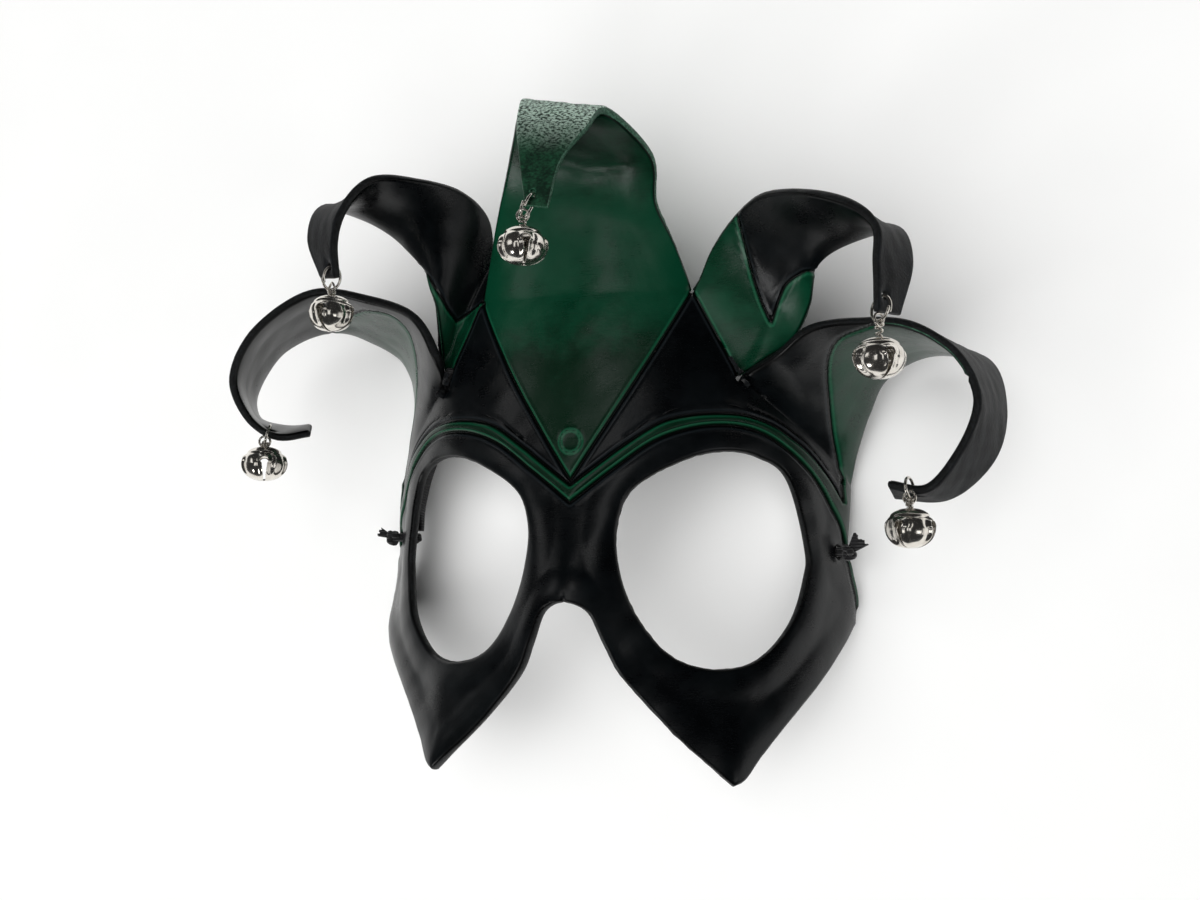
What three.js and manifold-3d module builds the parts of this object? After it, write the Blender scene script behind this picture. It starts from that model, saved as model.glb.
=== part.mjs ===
// A leather jester mask: a moulded half mask with five curled horns, a jingle bell hanging from
// each horn, and one flat strap knotted through a hole at each temple.
// Millimetres. The mask lies on its back: X to the viewer's right, Y up the forehead, Z out of
// the face. The origin is the middle of the footprint, on the surface that the mask lies on.
import * as THREE from 'three';
import { mergeVertices } from 'three/addons/utils/BufferGeometryUtils.js';
import Module from 'manifold-3d';

const wasm = await Module();
wasm.setup();

// Leather
const LEATHER = 2.7;
const TIP_LEATHER = 2.2;

// The moulded face. A place on it is (s, y): s runs around the face from its middle line and
// y up from the eyes. Before it is laid down, its depth is counted from the bridge of the nose.
const HALF_WIDTH = 78;
const FOREHEAD_HALF_WIDTH = 66;
const FOREHEAD_NARROWING = 0.0012;
const TEMPLE_DEPTH = 62;
const TEMPLE_DEPTH_SLOPE = 0.1;
const BROW_LEVEL = 15;
const BROW_DEPTH = 1.5;
const BROW_FALL = 0.0012;
const NOSE_HEIGHT = 9;
const NOSE_SPREAD = 13;
const CHEEK_FLARE = 6;

// Outlines on the face, right half, the left one is its mirror image
const NOSE_ARCH = [0, -10.8];
const BAND_MIDDLE = [0, 15.8];
const BAND_END = [93, 2];
const TEMPLE_CORNER = [99, -19];
const CHEEK_TIP = [47.6, -60.5];
const HORN_ROOT_MIDDLE = [0, 76];
const CENTRE_SLIT = [36.5, 76];
const SIDE_SLIT = [50, 51];
const TEMPLE_TOP = [96, 20];
const LEFT_NARROWER = 0.97;
// The left cheek stands out this far at this level, and fades out above and below it
const LEFT_CHEEK_OUT = 3.4;
const LEFT_CHEEK_LEVEL = -27;
const LEFT_CHEEK_SPREAD = 14;
const EYE_CENTRE = [43, 0];
const EYE_OUTLINE = [
  [73.4, 3], [66.5, 22.5], [56, 28.8], [44, 30.2], [31.6, 27.3], [18, 19.8], [13.6, 10],
  [14.3, -2], [19, -15], [28, -26], [41, -30], [55, -27.6], [67, -17.5], [72.9, -5],
];
const BAND_LINE = [
  BAND_MIDDLE, [12.6, 25.2], [26, 33.7], [42, 37.3], [58, 35], [74, 25], [86, 12], BAND_END,
];
const TEMPLE_LINE = [BAND_END, [95.6, -3], [99.5, -12], TEMPLE_CORNER];
const CHEEK_LINE = [
  TEMPLE_CORNER, [88, -27.5], [68.5, -42.3], [57, -52.5], [51.4, -58.7], CHEEK_TIP,
];
const NOSE_LINE = [
  CHEEK_TIP, [42.4, -56.6], [28.3, -45.2], [16.2, -32.2], [11.5, -23], [8, -15], [4.4, -12], NOSE_ARCH,
];

// Horns. Each is a strip that leaves the face along its root and narrows to its tip. The points
// are its two cut edges, left and right as seen from the front, from root to tip.
const HORNS = {
  centre: {
    root: [[-36.5, 76], CENTRE_SLIT],
    left: [
      [-26, 97, -7], [-20, 110, 0], [-14, 120, 9], [-9, 125, 18], [-7, 116, 26], [-5, 105, 29],
      [-3, 93, 30],
    ],
    right: [
      [28, 89, -9], [24, 100, -3], [25, 111, 6], [16, 120, 19], [12, 113, 26], [6, 104, 29],
      [3, 92, 30],
    ],
    columns: 10,
  },
  innerRight: {
    root: [CENTRE_SLIT, SIDE_SLIT],
    left: [
      [39, 87, -7], [47, 94, 0], [56, 97, 9], [69, 94, 19], [80, 89, 24], [86, 82, 26],
      [86, 73, 27], [86, 61, 27],
    ],
    right: [
      [53, 56, -14], [61, 62, -13], [66, 70, -8], [68, 79, -3], [77, 84, 3], [90, 85, 9],
      [94, 75, 15], [91, 61, 20],
    ],
    columns: 5,
  },
  innerLeft: {
    root: [[-50, 51], [-36.5, 76]],
    left: [
      [-46, 58, -15], [-45, 67, -10], [-45, 77, -6], [-48, 87, -5], [-59, 98, -1], [-73, 103, 9],
      [-75, 93, 15], [-69, 80, 18],
    ],
    right: [
      [-30, 89, -15], [-30, 101, -11], [-34, 107, 0], [-42, 108, 12], [-53, 107, 20],
      [-60, 98, 23], [-62, 88, 24], [-62, 79, 22],
    ],
    columns: 5,
  },
  outerRight: {
    root: [SIDE_SLIT, TEMPLE_TOP],
    left: [
      [57, 56, -5], [67, 62, 0], [80, 63, 2], [93, 61, 4], [104, 53, 5], [109, 42, 6],
      [106, 31, 6], [97, 19, 5], [87, 20, 4],
    ],
    right: [
      [76, 32, -39], [79, 42, -37], [84, 52, -34], [97, 58, -29], [112, 54, -22], [116, 41, -15],
      [113, 27, -10], [102, 17, -7], [88, 17, -3],
    ],
    columns: 6,
  },
  outerLeft: {
    root: [[-96, 20], [-50, 51]],
    left: [
      [-68, 48, -44], [-71, 63, -42], [-79, 70, -36], [-90, 73, -27], [-103, 66, -19],
      [-109, 52, -13], [-106, 43, -9], [-96, 40, -7], [-85, 40, -5],
    ],
    right: [
      [-44, 58, -6], [-50, 71, -2], [-64, 77, 1], [-81, 79, 4], [-96, 68, 9], [-103, 54, 10],
      [-99, 42, 8], [-91, 36, 5], [-82, 37, 1],
    ],
    columns: 6,
  },
};

// Wire rings and bells. Along is the place of a horn's hole, 0 at its root and 1 at its tip.
// Swing turns the ring from the near edge towards the tip, hook is the angle around the ring
// where its bell hangs, turn the bell's own turn, and neck the wire above its crown.
const HANGERS = {
  centre: { label: 'centre', along: 0.96, near: 'left', swing: 72, hook: 0, neck: 1.8, turn: 0 },
  innerRight: {
    label: 'inner_right', along: 0.96, near: 'left', swing: 75, hook: 0, neck: 3, turn: 40,
  },
  innerLeft: {
    label: 'inner_left', along: 0.96, near: 'right', swing: 95, hook: 0, neck: 0.8, turn: 40,
  },
  outerRight: {
    label: 'outer_right', along: 0.94, near: 'left', swing: 0, hook: 90, neck: 1.5, turn: 40,
  },
  outerLeft: {
    label: 'outer_left', along: 0.86, near: 'right', swing: 0, hook: 90, neck: 0.2, turn: 0,
  },
};
const HOLE_RADIUS = 1.2;
const HOLE_FROM_EDGE = 2.6;
const RING_RADIUS = 3;
const RING_WIRE = 0.42;
const RING_LONG = 1.1;
const RING_SHORT = 0.9;
const RING_SIDES = 5;
const RING_STEPS = 14;
const BELL_RADIUS = 6.3;
const BELL_HALF_HEIGHT = 5.1;
const BELL_WALL = 0.6;
const BELL_SQUARENESS = 0.8;
const BELL_STEPS = 6;
const BELL_SIDES = 10;
const SLOT_WIDTH = 1;
const SLOT_TOP = 0.8;
const SLOT_HOLE = 1.1;
const SLOT_HOLE_SIDES = 6;
const LOOP_RADIUS = 1.6;
const LOOP_WIRE = 0.38;
const LOOP_SAG = 0.35;
const LOOP_SIDES = 5;
const LOOP_STEPS = 8;
const STEM_SIDES = 6;

// The strap, its holes in the temples and its knots. A tail is where the knot's cut end points.
const STRAP_HOLES = {
  right: { at: [89, 2], tail: [3, 3, 2] },
  left: { at: [-89, 6], tail: [-4, 2, 1] },
};
const STRAP_HOLE_RADIUS = 1.9;
const ROD_SIDES = 10;
const KNOT_RADII = [2.6, 3.2, 2.6];
const KNOT_GAP = 0.4;
const KNOT_NECK = 1.4;
const INNER_KNOT = 1.8;
const TAIL_RADIUS = 0.9;
const KNOT_SIDES = 8;
const KNOT_STEPS = 6;
const STRAP_WIDTH = 8;
const STRAP_THICKNESS = 1.6;
const STRAP_CORNER = 0.5;
const STRAP_STEPS = 30;

// The strap's middle line, from the right knot to the left one, on the surface behind the mask
const STRAP_ROUTE = [
  [62.4, -28.4, 7.6], [62, -16, 6.4], [59, -2, 5], [51, 14, 4.6], [34, 31, 4.6], [0, 40, 4.6],
  [-38, 31, 4.6], [-56, 14, 4.6], [-64, -2, 5], [-67, -14, 6.4], [-67.2, -24.4, 7.6],
];

const UP = new THREE.Vector3(0, 1, 0);
const LEATHER_GREEN = new THREE.MeshStandardMaterial({ color: 0x0f3d2a, roughness: 0.45, metalness: 0 });
const NICKEL = new THREE.MeshStandardMaterial({ color: 0xc9c4bb, roughness: 0.15, metalness: 1 });
const RIBBON = new THREE.MeshStandardMaterial({ color: 0x17171a, roughness: 0.9, metalness: 0 });

// How finely the leather is divided
const ROWS_PER_STATION = 2;
const BAND_STEPS = HORNS.centre.columns / 2 + HORNS.innerRight.columns + HORNS.outerRight.columns;
const FACE_ROWS = 5;
const EYE_ROWS = 4;
const MIDDLE_STEPS = 4;
const TEMPLE_STEPS = 4;
const CHEEK_STEPS = 9;
const NOSE_STEPS = 12;
const EYELINE_STEPS = 180;

// A horn bends away from the moulded face over this share of its length. Its edges set out from
// this far behind its root.
const ROOT_BLEND = 0.35;
const ROOT_LEAD = 10;
const TIPWARD_STEP = 0.03;

const clamp = THREE.MathUtils.clamp;
const smoothstep = THREE.MathUtils.smoothstep;
const lerp = THREE.MathUtils.lerp;

function facePoint([s, y]) {
  const angle = s / HALF_WIDTH;
  const narrowing = FOREHEAD_NARROWING * Math.max(y - 5, 0) ** 2;
  const halfWidth = Math.max(HALF_WIDTH - narrowing, FOREHEAD_HALF_WIDTH);
  const depth = TEMPLE_DEPTH + TEMPLE_DEPTH_SLOPE * clamp(y, -80, 80);
  const middle = BROW_DEPTH - BROW_FALL * Math.max(y - BROW_LEVEL, 0) ** 2;
  const nose = NOSE_HEIGHT * Math.exp(-((s / NOSE_SPREAD) ** 2)) * smoothstep(-y, -22, 26);
  const cheek = CHEEK_FLARE * smoothstep(-y, 25, 75);
  const z = middle - depth * (1 - Math.cos(angle)) + nose + cheek;
  const x = halfWidth * Math.sin(angle) * (s < 0 ? LEFT_NARROWER : 1);
  const level = Math.exp(-(((y - LEFT_CHEEK_LEVEL) / LEFT_CHEEK_SPREAD) ** 2));
  return new THREE.Vector3(x - LEFT_CHEEK_OUT * level * smoothstep(-s, 55, 95), y, z);
}

const mix = (a, b, f) => a.map((value, axis) => value + (b[axis] - value) * f);

// A smooth line through points on the face, as count + 1 places spread evenly along it
function faceLine(points, count, closed = false) {
  const places = points.map(([s, y]) => new THREE.Vector3(s, y, 0));
  const line = new THREE.CatmullRomCurve3(places, closed, 'catmullrom');
  return line.getSpacedPoints(count).map((p) => [p.x, p.y]);
}

// One thin sheet built from patches whose shared borders have the same points
class Sheet {
  constructor() {
    this.points = [];
    this.offsets = [];
    this.known = new Map();
    this.triangles = [];
  }

  vertex(point, offsets) {
    const key = [point.x, point.y, point.z].map((value) => Math.round(value * 1000)).join();
    if (!this.known.has(key)) {
      this.known.set(key, this.points.length);
      this.points.push(point);
      this.offsets.push(offsets);
    }
    return this.known.get(key);
  }

  // Rows run from bottom to top and each row from left to right, seen from the outer side. The
  // offsets are how far the outer and the inner face lie from the patch.
  patch(rows, offsets = () => [0, -LEATHER]) {
    const last = rows.length - 1;
    const ids = rows.map((row, i) => row.map((point) => this.vertex(point, offsets(i / last))));
    for (let i = 0; i + 1 < ids.length; i += 1) {
      for (let j = 0; j + 1 < ids[i].length; j += 1) {
        const [a, b, c, d] = [ids[i][j], ids[i][j + 1], ids[i + 1][j + 1], ids[i + 1][j]];
        for (const triangle of [[a, b, c], [a, c, d]]) {
          if (new Set(triangle).size === 3) this.triangles.push(triangle);
        }
      }
    }
  }

  normals() {
    const normals = this.points.map(() => new THREE.Vector3());
    for (const ids of this.triangles) {
      const [a, b, c] = ids.map((id) => this.points[id]);
      const normal = b.clone().sub(a).cross(c.clone().sub(a));
      for (const id of ids) normals[id].add(normal);
    }
    return normals.map((normal) => normal.normalize());
  }

  // Both faces of the sheet, joined by walls along every open border
  solid() {
    const normals = this.normals();
    const count = this.points.length;
    const side = (face) => this.points.map((point, id) => (
      point.clone().addScaledVector(normals[id], this.offsets[id][face])));
    const index = [];
    const edges = new Set(
      this.triangles.flatMap(([a, b, c]) => [`${a},${b}`, `${b},${c}`, `${c},${a}`]));
    for (const [a, b, c] of this.triangles) index.push(a, b, c, a + count, c + count, b + count);
    for (const edge of edges) {
      const [a, b] = edge.split(',').map(Number);
      if (!edges.has(`${b},${a}`)) index.push(b, a, a + count, b, a + count, b + count);
    }
    const geometry = new THREE.BufferGeometry().setFromPoints([...side(0), ...side(1)]);
    geometry.setIndex(index);
    return geometry;
  }
}

// Half of the face: a ring around the eye, and the forehead above the brow line
function halfFace(sheet, mirrored) {
  const place = ([s, y]) => facePoint([mirrored ? -s : s, y]);
  const ordered = (row) => (mirrored ? [...row].reverse() : row);
  const add = (rows) => sheet.patch(rows.map((row) => ordered(row).map(place)));
  const band = faceLine(BAND_LINE, BAND_STEPS);
  const temple = faceLine(TEMPLE_LINE, TEMPLE_STEPS);
  const cheek = faceLine(CHEEK_LINE, CHEEK_STEPS);
  const nose = faceLine(NOSE_LINE, NOSE_STEPS);
  const middle = faceLine([NOSE_ARCH, BAND_MIDDLE], MIDDLE_STEPS);
  const around = [middle, band, temple, cheek, nose].flatMap((line, i) => line.slice(i && 1));
  const eyeline = faceLine(EYE_OUTLINE, EYELINE_STEPS, true);
  const bearing = ([s, y]) => Math.atan2(y - EYE_CENTRE[1], s - EYE_CENTRE[0]);
  const turn = (a, b) => Math.abs(Math.atan2(Math.sin(a - b), Math.cos(a - b)));
  const eye = around.map((p) => eyeline.reduce((best, q) => (
    turn(bearing(q), bearing(p)) < turn(bearing(best), bearing(p)) ? q : best)));
  const ring = [];
  for (let i = 0; i <= EYE_ROWS; i += 1) {
    ring.push(around.map((p, j) => mix(eye[j], p, i / EYE_ROWS)));
  }
  add(ring);

  const roots = [
    [HORN_ROOT_MIDDLE, CENTRE_SLIT, HORNS.centre.columns / 2],
    [CENTRE_SLIT, SIDE_SLIT, HORNS.innerRight.columns],
    [SIDE_SLIT, TEMPLE_TOP, HORNS.outerRight.columns],
  ];
  const top = [HORN_ROOT_MIDDLE];
  for (const [from, to, columns] of roots) {
    for (let j = 1; j <= columns; j += 1) top.push(mix(from, to, j / columns));
  }
  const forehead = [];
  for (let i = 0; i <= FACE_ROWS; i += 1) {
    forehead.push(band.map((p, j) => mix(p, top[j], i / FACE_ROWS)));
  }
  add(forehead);
}

// The edge of a horn as a smooth curve that leaves the face without a kink
function hornEdge(rootPoint, inner, points) {
  const stations = points.map((p) => new THREE.Vector3(...p));
  const places = [facePoint(inner), facePoint(rootPoint), ...stations];
  return new THREE.CatmullRomCurve3(places, false, 'catmullrom');
}

class Horn {
  constructor({ root, left, right, columns }) {
    const [from, to] = root;
    const along = [to[0] - from[0], to[1] - from[1]];
    const length = Math.hypot(...along);
    const inward = [along[1], -along[0]].map((value) => value / length * ROOT_LEAD);
    const behind = (p) => [p[0] + inward[0], p[1] + inward[1]];
    this.root = root;
    this.columns = columns;
    this.stations = left.length;
    this.edges = [hornEdge(from, behind(from), left), hornEdge(to, behind(to), right)];
  }

  // Across is 0 to 1 from the left edge, along is 0 to 1 from root to tip
  point(across, along) {
    const t = (1 + along * this.stations) / (this.stations + 1);
    const [a, b] = this.edges.map((edge) => edge.getPoint(t));
    const point = a.clone().lerp(b, across);
    const [a0, b0] = this.edges.map((edge) => edge.getPoint(1 / (this.stations + 1)));
    const bulge = facePoint(mix(...this.root, across)).sub(a0.lerp(b0, across));
    return point.addScaledVector(bulge, 1 - smoothstep(along, 0, ROOT_BLEND));
  }

  addTo(sheet) {
    const rows = [];
    const count = this.stations * ROWS_PER_STATION;
    for (let i = 0; i <= count; i += 1) {
      const row = [];
      for (let j = 0; j <= this.columns; j += 1) {
        row.push(this.point(j / this.columns, i / count));
      }
      rows.push(row);
    }
    sheet.patch(rows, (along) => {
      const thickness = lerp(LEATHER, TIP_LEATHER, along);
      const outer = thickness / 2 * smoothstep(along, 0, ROOT_BLEND);
      return [outer, outer - thickness];
    });
  }
}

function toSolid(geometry) {
  const bare = geometry.clone();
  bare.deleteAttribute('normal');
  bare.deleteAttribute('uv');
  const merged = mergeVertices(bare, 1e-4);
  const vertProperties = new Float32Array(merged.attributes.position.array);
  const triVerts = new Uint32Array(merged.index.array);
  return new wasm.Manifold(new wasm.Mesh({ numProp: 3, vertProperties, triVerts }));
}

function toGeometry(solid) {
  const { vertProperties, triVerts } = solid.getMesh();
  const geometry = new THREE.BufferGeometry();
  geometry.setAttribute('position', new THREE.BufferAttribute(vertProperties, 3));
  geometry.setIndex(new THREE.BufferAttribute(triVerts, 1));
  geometry.computeVertexNormals();
  return geometry;
}

// A rod between two places
function rod(from, to, radius, sides = ROD_SIDES) {
  const axis = to.clone().sub(from);
  const geometry = new THREE.CylinderGeometry(radius, radius, axis.length(), sides);
  geometry.applyQuaternion(new THREE.Quaternion().setFromUnitVectors(UP, axis.clone().normalize()));
  const middle = from.clone().lerp(to, 0.5);
  return geometry.translate(middle.x, middle.y, middle.z);
}

// Where a horn is pierced for its ring, with the way into the ring and the way out of the leather
function piercing(horn, { along, near, swing }) {
  const [left, right] = [horn.point(0, along), horn.point(1, along)];
  const [edge, far] = near === 'left' ? [left, right] : [right, left];
  const edgeward = edge.clone().sub(far).normalize();
  const tipward = horn.point(0.5, along).sub(horn.point(0.5, along - TIPWARD_STEP)).normalize();
  const outward = right.clone().sub(left).cross(tipward).negate().normalize();
  const place = edge.clone().addScaledVector(edgeward, -HOLE_FROM_EDGE);
  const angle = THREE.MathUtils.degToRad(swing);
  const tip = outward.clone().cross(edgeward);
  tip.multiplyScalar(Math.sign(tip.dot(tipward)));
  const ringward = edgeward.multiplyScalar(Math.cos(angle)).addScaledVector(tip, Math.sin(angle));
  return { place, ringward, outward };
}

function leather(horns, piercings, strapHoles) {
  const sheet = new Sheet();
  halfFace(sheet, false);
  halfFace(sheet, true);
  for (const horn of Object.values(horns)) horn.addTo(sheet);
  let solid = toSolid(sheet.solid());
  const cut = ({ place, outward }, radius) => {
    const reach = outward.clone().multiplyScalar(2 * LEATHER);
    const punch = rod(place.clone().sub(reach), place.clone().add(reach), radius);
    solid = solid.subtract(toSolid(punch));
  };
  for (const hole of Object.values(piercings)) cut(hole, HOLE_RADIUS);
  for (const hole of Object.values(strapHoles)) cut(hole, STRAP_HOLE_RADIUS);
  return toGeometry(solid);
}

// A wire ring that passes through the horn's hole and around its near edge
function ring({ place, ringward, outward }) {
  const geometry = new THREE.TorusGeometry(RING_RADIUS, RING_WIRE, RING_SIDES, RING_STEPS);
  geometry.scale(RING_LONG, RING_SHORT, 1);
  const mesh = new THREE.Mesh(geometry, NICKEL);
  mesh.position.copy(place).addScaledVector(ringward, RING_RADIUS * RING_LONG);
  const through = ringward.clone().cross(outward);
  mesh.setRotationFromMatrix(new THREE.Matrix4().makeBasis(ringward, outward, through));
  return mesh;
}

// A pressed jingle bell, its axis along Y: a hollow shell with two crossing slots in its
// mouth, a round hole at each slot's end, and a wire neck and loop on its crown
function bellGeometry({ neck, turn }) {
  const profile = (radius, halfHeight) => {
    const points = [];
    for (let i = 0; i <= BELL_STEPS; i += 1) {
      const angle = (i / BELL_STEPS - 0.5) * Math.PI;
      const round = Math.cos(angle) ** BELL_SQUARENESS;
      const out = i % BELL_STEPS === 0 ? 0 : radius * round;
      points.push(new THREE.Vector2(out, halfHeight * Math.sin(angle)));
    }
    return new THREE.LatheGeometry(points, BELL_SIDES);
  };
  let solid = toSolid(profile(BELL_RADIUS, BELL_HALF_HEIGHT));
  const hollow = profile(BELL_RADIUS - BELL_WALL, BELL_HALF_HEIGHT - BELL_WALL);
  solid = solid.subtract(toSolid(hollow));
  const slotHeight = BELL_HALF_HEIGHT + SLOT_TOP + 1;
  const reach = BELL_RADIUS + 1;
  const holeFrom = new THREE.Vector3(-reach, SLOT_TOP, 0);
  const holeTo = new THREE.Vector3(reach, SLOT_TOP, 0);
  for (const quarter of [0, Math.PI / 2]) {
    const slot = new THREE.BoxGeometry(2 * reach, slotHeight, SLOT_WIDTH);
    slot.translate(0, SLOT_TOP - slotHeight / 2, 0).rotateY(quarter);
    const hole = rod(holeFrom, holeTo, SLOT_HOLE, SLOT_HOLE_SIDES).rotateY(quarter);
    solid = solid.subtract(toSolid(slot)).subtract(toSolid(hole));
  }
  solid = solid.rotate([0, turn, 0]);
  const crown = BELL_HALF_HEIGHT - BELL_WALL / 2;
  const loopHeight = crown + neck + LOOP_RADIUS;
  const loop = new THREE.TorusGeometry(LOOP_RADIUS, LOOP_WIRE, LOOP_SIDES, LOOP_STEPS);
  loop.translate(0, loopHeight, 0);
  const stemFoot = new THREE.Vector3(0, crown, 0);
  const stemTop = new THREE.Vector3(0, crown + neck + LOOP_WIRE, 0);
  const stem = rod(stemFoot, stemTop, LOOP_WIRE, STEM_SIDES);
  solid = solid.add(toSolid(loop)).add(toSolid(stem));
  return { geometry: toGeometry(solid), loopHeight };
}

// A bell whose loop hangs in its ring at the given angle around the ring
function bell(hanger, ringMesh) {
  const { geometry, loopHeight } = bellGeometry(hanger);
  const angle = THREE.MathUtils.degToRad(hanger.hook);
  const [long, short] = [Math.cos(angle), Math.sin(angle)];
  const touch = new THREE.Vector3(long * RING_LONG, short * RING_SHORT, 0);
  touch.multiplyScalar(RING_RADIUS).applyQuaternion(ringMesh.quaternion).add(ringMesh.position);
  const wire = new THREE.Vector3(-short, long, 0).applyQuaternion(ringMesh.quaternion);
  wire.setY(0).normalize();
  const mesh = new THREE.Mesh(geometry, NICKEL);
  const sideways = UP.clone().cross(wire).normalize();
  mesh.setRotationFromMatrix(new THREE.Matrix4().makeBasis(sideways, UP, wire));
  mesh.position.copy(touch).addScaledVector(UP, LOOP_SAG - loopHeight);
  return mesh;
}

// The knot outside a temple hole, its neck through the leather and the lump inside
function knot({ place, outward }, tail) {
  const at = (depth) => place.clone().addScaledVector(outward, depth);
  const lump = (radii, depth) => {
    const { x, y, z } = at(depth);
    return new THREE.SphereGeometry(1, KNOT_SIDES, KNOT_STEPS).scale(...radii).translate(x, y, z);
  };
  const outside = KNOT_RADII[0] + KNOT_GAP;
  const inside = -(LEATHER + KNOT_GAP + INNER_KNOT);
  const end = at(outside).add(new THREE.Vector3(...tail));
  const parts = [
    lump(KNOT_RADII, outside),
    lump([INNER_KNOT, INNER_KNOT, INNER_KNOT], inside),
    rod(at(inside), at(outside), KNOT_NECK, KNOT_SIDES),
    rod(at(outside), end, TAIL_RADIUS, KNOT_SIDES),
  ];
  const solid = parts.map(toSolid).reduce((sum, next) => sum.add(next));
  return new THREE.Mesh(toGeometry(solid), RIBBON);
}

// The strap stands on its edge, as a flat strap does where it turns
function strap() {
  const [x, y, c] = [STRAP_THICKNESS / 2, STRAP_WIDTH / 2, STRAP_CORNER];
  const corners = [
    [x, y - c], [x - c, y], [c - x, y], [-x, y - c], [-x, c - y], [c - x, -y], [x - c, -y], [x, c - y],
  ];
  const section = new THREE.Shape(corners.map((corner) => new THREE.Vector2(...corner)));
  const places = STRAP_ROUTE.map((p) => new THREE.Vector3(...p));
  const route = new THREE.CatmullRomCurve3(places, false, 'catmullrom');
  const options = { steps: STRAP_STEPS, bevelEnabled: false, extrudePath: route };
  return new THREE.ExtrudeGeometry(section, options);
}

const horns = Object.fromEntries(Object.entries(HORNS).map(([name, horn]) => [name, new Horn(horn)]));
const piercings = Object.fromEntries(
  Object.entries(HANGERS).map(([name, hanger]) => [name, piercing(horns[name], hanger)]));
const strapHoles = Object.fromEntries(Object.entries(STRAP_HOLES).map(([name, { at }]) => {
  const place = facePoint(at);
  const around = facePoint([at[0] + 1, at[1]]).sub(place);
  const up = facePoint([at[0], at[1] + 1]).sub(place);
  return [name, { place, outward: around.cross(up).normalize() }];
}));

const mask = new THREE.Group();
const addPiece = (name, mesh) => {
  mesh.name = name;
  mask.add(mesh);
  return mesh;
};
addPiece('mask_leather', new THREE.Mesh(leather(horns, piercings, strapHoles), LEATHER_GREEN));
for (const [name, hanger] of Object.entries(HANGERS)) {
  const ringMesh = addPiece(`ring_${hanger.label}`, ring(piercings[name]));
  addPiece(`bell_${hanger.label}`, bell(hanger, ringMesh));
}
for (const [name, { tail }] of Object.entries(STRAP_HOLES)) {
  addPiece(`knot_${name}`, knot(strapHoles[name], tail));
}

// The mask rests on the surface, in the middle of its footprint
const box = new THREE.Box3().setFromObject(mask, true);
const middle = box.getCenter(new THREE.Vector3());
mask.position.set(-middle.x, -middle.y, -box.min.z);

const strapMesh = new THREE.Mesh(strap(), RIBBON);
strapMesh.name = 'strap';

const part = new THREE.Group();
part.add(mask, strapMesh);

export default part;
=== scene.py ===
"""The looks of a leather jester mask with nickel jingle bells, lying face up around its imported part."""

import logging
import math
from dataclasses import dataclass, field
from enum import Enum
from functools import partial
from typing import Callable, Sequence

import bpy
import numpy as np
from mathutils import Matrix


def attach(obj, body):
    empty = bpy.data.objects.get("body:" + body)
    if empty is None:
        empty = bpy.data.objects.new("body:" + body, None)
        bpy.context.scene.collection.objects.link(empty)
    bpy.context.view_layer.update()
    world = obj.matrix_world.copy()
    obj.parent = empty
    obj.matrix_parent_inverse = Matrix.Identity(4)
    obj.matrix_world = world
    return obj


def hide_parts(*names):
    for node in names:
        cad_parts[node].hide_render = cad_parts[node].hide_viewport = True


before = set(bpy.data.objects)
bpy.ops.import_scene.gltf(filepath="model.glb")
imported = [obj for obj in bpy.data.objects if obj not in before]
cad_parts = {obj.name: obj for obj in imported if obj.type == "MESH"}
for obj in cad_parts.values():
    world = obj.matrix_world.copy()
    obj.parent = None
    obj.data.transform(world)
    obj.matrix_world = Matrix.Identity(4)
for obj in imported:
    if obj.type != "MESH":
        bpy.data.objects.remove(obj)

LOG = logging.getLogger("jester_mask")
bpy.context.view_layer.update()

MM = 0.001
# Zero of the moulded face, at the bridge of the nose, in the part's frame, in millimetres
FACE_ZERO = np.array([-3.487, -32.609, 44.880])
Points = np.ndarray


# Shapes that everything is made from

def smoothstep(x: Points, low: float, high: float) -> Points:
    """Rise from 0 at low to 1 at high as t squared times (3 - 2t)."""
    t = np.clip((np.asarray(x, float) - low) / (high - low), 0, 1)
    return t * t * (3 - 2 * t)


def unit(vectors: Points) -> Points:
    """Vectors of length one along the last axis."""
    return vectors / np.maximum(np.linalg.norm(vectors, axis=-1, keepdims=True), 1e-12)


def hump(x: Points, width: float) -> Points:
    """A bell curve: e to the power -(x / width) squared."""
    return np.exp(-(x / width) ** 2)


def even(steps: int) -> Points:
    """Numbers from 0 to 1 in even steps."""
    return np.linspace(0, 1, steps + 1)


def mirrored(places: Points) -> Points:
    """Places on the face, taken to its other half."""
    return places * [-1, 1]


def standing(right: Points, up: Points, back: Points, spot: Points) -> Matrix:
    """The matrix of a camera or lamp with these axes at this spot."""
    axes = np.stack([right, up, back], 1)
    return Matrix([(*row, place) for row, place in zip(axes, spot)] + [(0, 0, 0, 1)])


def smooth_line(points: Sequence, t: Points, closed: bool = False) -> Points:
    """A uniform Catmull-Rom line: each span is the cubic with the neighbours' half chords as tangents.

    Args:
        points: The places it runs through, n by d.
        t: Where to read it, 0 to 1 over all spans.
        closed: Whether it returns to its first place.

    Returns:
        The places at t.
    """
    points = np.asarray(points, float)
    spans = len(points) if closed else len(points) - 1
    at = np.clip(np.asarray(t, float), 0, 1) * spans
    k = np.minimum(at.astype(int), spans - 1)
    w = (at - k)[..., None]
    if closed:
        near = points[(k[..., None] + np.arange(-1, 3)) % len(points)]
    else:
        ends = (2 * points[0] - points[1], points, 2 * points[-1] - points[-2])
        near = np.vstack(ends)[k[..., None] + np.arange(4)]
    a, b, c, d = (near[..., i, :] for i in range(4))
    m0, m1 = (c - a) / 2, (d - b) / 2
    return ((2 * b - 2 * c + m0 + m1) * w + (-3 * b + 3 * c - 2 * m0 - m1)) * w * w + m0 * w + b


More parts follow.
